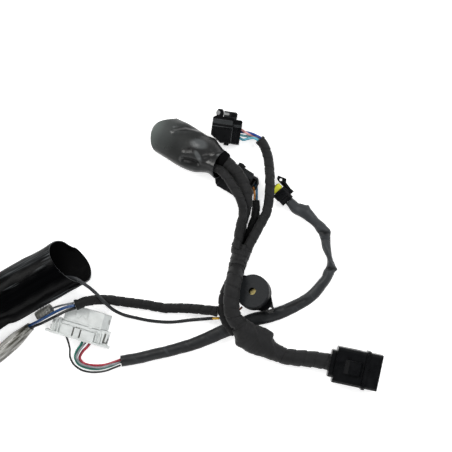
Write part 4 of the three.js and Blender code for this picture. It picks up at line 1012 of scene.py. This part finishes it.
def build_top_connector_details():
    """Sloped shoulder and edge lines of the top connector in paler greys as painted sheen and highlights, its
    rear ribs, and the pale latch pads as painted highlights.
    """
    place, turn = (-3.4, 84.4, 0), -8
    # Painted sheen: the sloped shoulder is a paler grey than the black housing, as a face that catches the
    # light.
    shoulder = [
        ([(-8.9, 2.9), (8.8, 2.9), (8.8, 9), (-8.9, 9)], 12.4, (16.3, 16.3, 13.4, 13.4)),
        ([(9.5, 4.2), (16.2, 4.2), (16.2, 8.6), (9.5, 8.6)], 12.4, (16.1, 16.1, 14.4, 14.4))]
    moulded_piece("top_connector_shoulder", shoulder, place, turn, "grey_nylon", edge=0.22,
                  material=SHEEN_GREY)
    # Painted highlights: thin paler bars along the edges.
    lines = [
        bar((-8.9, 2), (8.7, 2.2), 0.5, 15.6, 16.5), bar((8.8, 2), (8.9, -10.6), 0.3, 15.6, 16.2),
        bar((-8, 8.2), (8, 8.2), 0.3, 13.2, 14.2), bar((9.6, 3.6), (16, 3.6), 0.4, 15.0, 16)]
    moulded_piece("top_connector_lines", lines, place, turn, "grey_nylon", edge=0.1, material=EDGE_GREY)
    edges = [
        bar((-7.6, 0.8), (7.6, 0.8), 0.5, 15.6, 16.3), bar((-7.6, -9.6), (7.6, -9.9), 0.5, 15.6, 16.2),
        bar((-7.8, 0.8), (-7.8, -6), 0.5, 15.6, 16.2), bar((7.7, 0.8), (7.9, -9.9), 0.5, 15.6, 16.2),
        box(10.2, 11, -10.2, 0.8, 13.9, 15.2), box(12.4, 13.1, -10.2, 0.8, 13.9, 15.2),
        box(14.4, 15.8, -9.8, 0.6, 13.6, 14.9), box(-8.2, -0.4, 9.4, 11, 10, 12.4),
        box(9.04, 9.26, -10.8, 8.4, 0.1, 13.4), box(-0.4, 9, 10.06, 11.14, 4, 11),
        box(8.9, 9.9, 8.6, 11.4, 1.2, 5.2)]
    moulded_piece("top_connector_edges", edges, place, turn, "black_nylon", edge=0.2)
    around = [k * math.pi / 5 for k in range(10)]
    dome = [(-5.4 + 1.9 * math.cos(t), 14 + 2.1 * math.sin(t)) for t in around]
    # Painted highlights: the latch's dome and pad are pale grey.
    pads = [(dome, 12.2, (13.0,) * 10), box(-0.6, 4.4, 12.8, 15, 11.6, 12.8)]
    moulded_piece("top_connector_latch_pads", pads, place, turn, "grey_nylon", edge=0.3, material=LATCH_HIGHLIGHT)
    end = [box(5.2, 10.8, 12.2, 15.8, 11.2, 12.4), box(5.2, 6.2, 11.6, 16, 11, 12.8)]
    moulded_piece("top_connector_latch_end", end, place, turn, "black_nylon", edge=0.3)


def build_second_connector():
    """Housing with a cut corner, a latch and ledge along one side, an open hood round its wires, and grey
    strips on its faces as painted highlights.
    """
    place, turn = (8.8, 39.6, 0), -32
    front = [
        (-17, -7.6), (-14, -11.6), (-10.4, -12.4), (-3.4, -12.4), (-3.4, 12.4), (-15.6, 12.4), (-17.4, 10.6)]
    collar = [(-12.4, -12.7), (-10.8, -12.7), (-6.2, -8.4), (-6.2, 12.7), (-12.4, 12.7)]
    hood_floor = [(11.6, -12.2), (17.8, -12.2), (18.9, 2), (18, 7.9), (15.2, 11.7), (11.6, 12)]
    housing = [
        (front, 0.0, (11.6,) * 7), (collar, 0.2, (12.1,) * 5), box(-3.8, 11.8, -12.2, 12.2, 0, 11.4),
        (hood_floor, 0.0, (2.2,) * 6), bar((11.6, 11.1), (15.4, 11.1), 2.2, 0.2, 11.2),
        bar((15, 11.3), (18, 7.4), 1.9, 0.2, 11), bar((17.7, 8), (18.6, 2), 1.5, 0.2, 10.6),
        box(11.6, 17.4, -12.2, -10.4, 0.2, 11.2), box(-6, 0.8, 12, 15.4, 2, 10.8),
        box(-4.8, -1, 13.4, 15.8, 9.4, 11.6), box(0.6, 10.4, 12, 13.5, 3.4, 9.6, 8.6),
        box(1.6, 9.6, 11.2, 12.3, 9.4, 11.9)]
    moulded_piece("second_connector_body", housing, place, turn, "black_nylon",
                  ("second_connector_housing",), 0.55, PALER_BLACK)
    # Painted highlights: grey strips along the faces and edges that catch the light.
    strips = [
        box(1, 11.4, 7.6, 11.2, 11, 11.9), box(-2.6, -1.8, -11, 11, 11, 11.9),
        box(-16, -13, 2, 11, 11.2, 11.9), bar((11.2, 11), (15.2, 11), 1.6, 10.8, 11.8),
        bar((15, 11.2), (17.8, 7.5), 1.0, 10.6, 11.5)]
    moulded_piece("second_connector_highlight_strips", strips, place, turn, "grey_nylon", edge=0.3)


def build_two_way_details():
    """Ribs across the rear of the two-way connector, and grey edges on its lever as painted highlights."""
    place, turn = (48.8, 27.6, 0), -47
    ribs = [
        box(2.6, 3.4, -5.4, 5.4, 9.6, 10.9), box(5, 5.8, -5.4, 5.4, 9.4, 10.7),
        box(-3.6, -2.8, -5.6, 5.6, 10, 11.1)]
    web = ([(-7.8, 6.3), (-0.8, 6.3), (-0.8, 8.4), (-6.6, 9)], 3.2, (5.5,) * 4)
    moulded_piece("two_way_ribs", [*ribs, web], place, turn, "black_nylon", edge=0.25)
    # Painted highlights: grey bars along the lever's edges.
    lever = [bar((-7, 9.9), (-1.4, 8.6), 0.5, 8.6, 9.5), bar((-12.6, 7.2), (-13.4, 8.8), 0.5, 8.6, 9.5)]
    moulded_piece("two_way_lever_edges", lever, place, turn, "grey_nylon", edge=0.15)


# Solids that are shown as they are
def finish_nodes():
    """Each solid gets its finish and softened edges."""
    for name, node in frame["nodes"].items():
        node.data.materials.clear()
        node.data.materials.append(finish_of(name))
        soften(node, EDGE_SOFTNESS / 1000)


# Stage
def seen_share(tree, mirrored_part):
    """Share of the white background in a ray: all for the camera's, a part for mirrored and passed ones."""
    rays = tree.nodes.new("ShaderNodeLightPath").outputs
    sent_on = calculated(tree, "MAXIMUM", rays["Is Glossy Ray"], rays["Is Transmission Ray"])
    part = calculated(tree, "MULTIPLY", sent_on, mirrored_part)
    return calculated(tree, "MAXIMUM", rays["Is Camera Ray"], part)


def build_floor():
    """Pale floor under the object: white to the rays that show it, and darker where the object shades it."""
    bpy.ops.mesh.primitive_plane_add(size=FLOOR_SIZE, location=(0, 0, -FLOOR_DROP))
    floor = bpy.context.object
    floor.name = "floor"
    material, tree, shader = new_material("pale_floor", 0.9, specular=0.05)
    shader.inputs["Base Color"].default_value = (0.86, 0.86, 0.86, 1)
    shader.inputs["Emission Color"].default_value = (1, 1, 1, 1)
    lift = calculated(tree, "MULTIPLY", seen_share(tree, 1.0), FLOOR_LIFT)
    tree.links.new(lift, shader.inputs["Emission Strength"])
    floor.data.materials.append(material)


def area_light(name, place, size, power, color):
    """Lamp at a place of the lay, turned towards the middle of the photograph."""
    data = bpy.data.lights.new(name, "AREA")
    data.shape = "RECTANGLE"
    data.size, data.size_y = size
    data.energy = power
    data.color = color
    light = bpy.data.objects.new(name, data)
    light.location = lay(place)
    light.rotation_euler = (Vector(lay((0, 0, 0))) - light.location).to_track_quat("-Z", "Y").to_euler()
    bpy.context.scene.collection.objects.link(light)


def build_light():
    """Sky whose strength falls towards the zenith, so that upright faces catch more of it than flat ones,
    with plain white behind the object, which mirrored and passed rays see near the horizon."""
    world = bpy.data.worlds.new("studio")
    bpy.context.scene.world = world
    world.use_nodes = True
    tree = world.node_tree
    coords = tree.nodes.new("ShaderNodeTexCoord").outputs["Generated"]
    height = add_node(tree, "ShaderNodeSeparateXYZ", {"Vector": coords}).outputs["Z"]
    sky = ramp(tree, height, [(0.0, 0.5), (0.35, 0.36), (0.7, 0.13), (0.95, 0.07)])
    background = tree.nodes["Background"]
    tree.links.new(sky, background.inputs["Color"])
    white = add_node(tree, "ShaderNodeBackground", {"Color": (1, 1, 1, 1), "Strength": 1.0}).outputs[0]
    seen = seen_share(tree, ramp(tree, height, [(0.1, 1.0), (0.35, 0.0)]))
    skies = {0: seen, 1: background.outputs[0], 2: white}
    both = add_node(tree, "ShaderNodeMixShader", skies).outputs[0]
    tree.links.new(both, tree.nodes["World Output"].inputs["Surface"])
    area_light("window_left", (-620, 560, 900), (0.8, 0.4), 9.0, (1.0, 0.99, 0.97))
    area_light("window_right", (720, 240, 860), (0.45, 0.7), 6.0, (0.97, 0.99, 1.0))
    area_light("window_low", (60, -820, 700), (0.9, 0.3), 2.6, (1.0, 1.0, 1.0))


def build_camera():
    """Camera straight above the bench, at the photograph's width."""
    data = bpy.data.cameras.new("camera")
    data.sensor_width = SENSOR_WIDTH
    data.lens = SENSOR_WIDTH * BENCH_TO_CAMERA / PHOTO_WIDTH
    data.clip_end = 20
    camera = bpy.data.objects.new("camera", data)
    camera.location = lay((0, 0, BENCH_TO_CAMERA))
    bpy.context.scene.collection.objects.link(camera)
    bpy.context.scene.camera = camera


build_camera()
build_looms()
build_sleeves()
build_wires()
build_patch()
build_boot()
build_large_sleeve()
build_bullet_boots()
build_white_connector()
build_top_connector_details()
build_second_connector()
build_two_way_details()
finish_nodes()
build_floor()
build_light()
bpy.context.scene.view_settings.view_transform = "Standard"
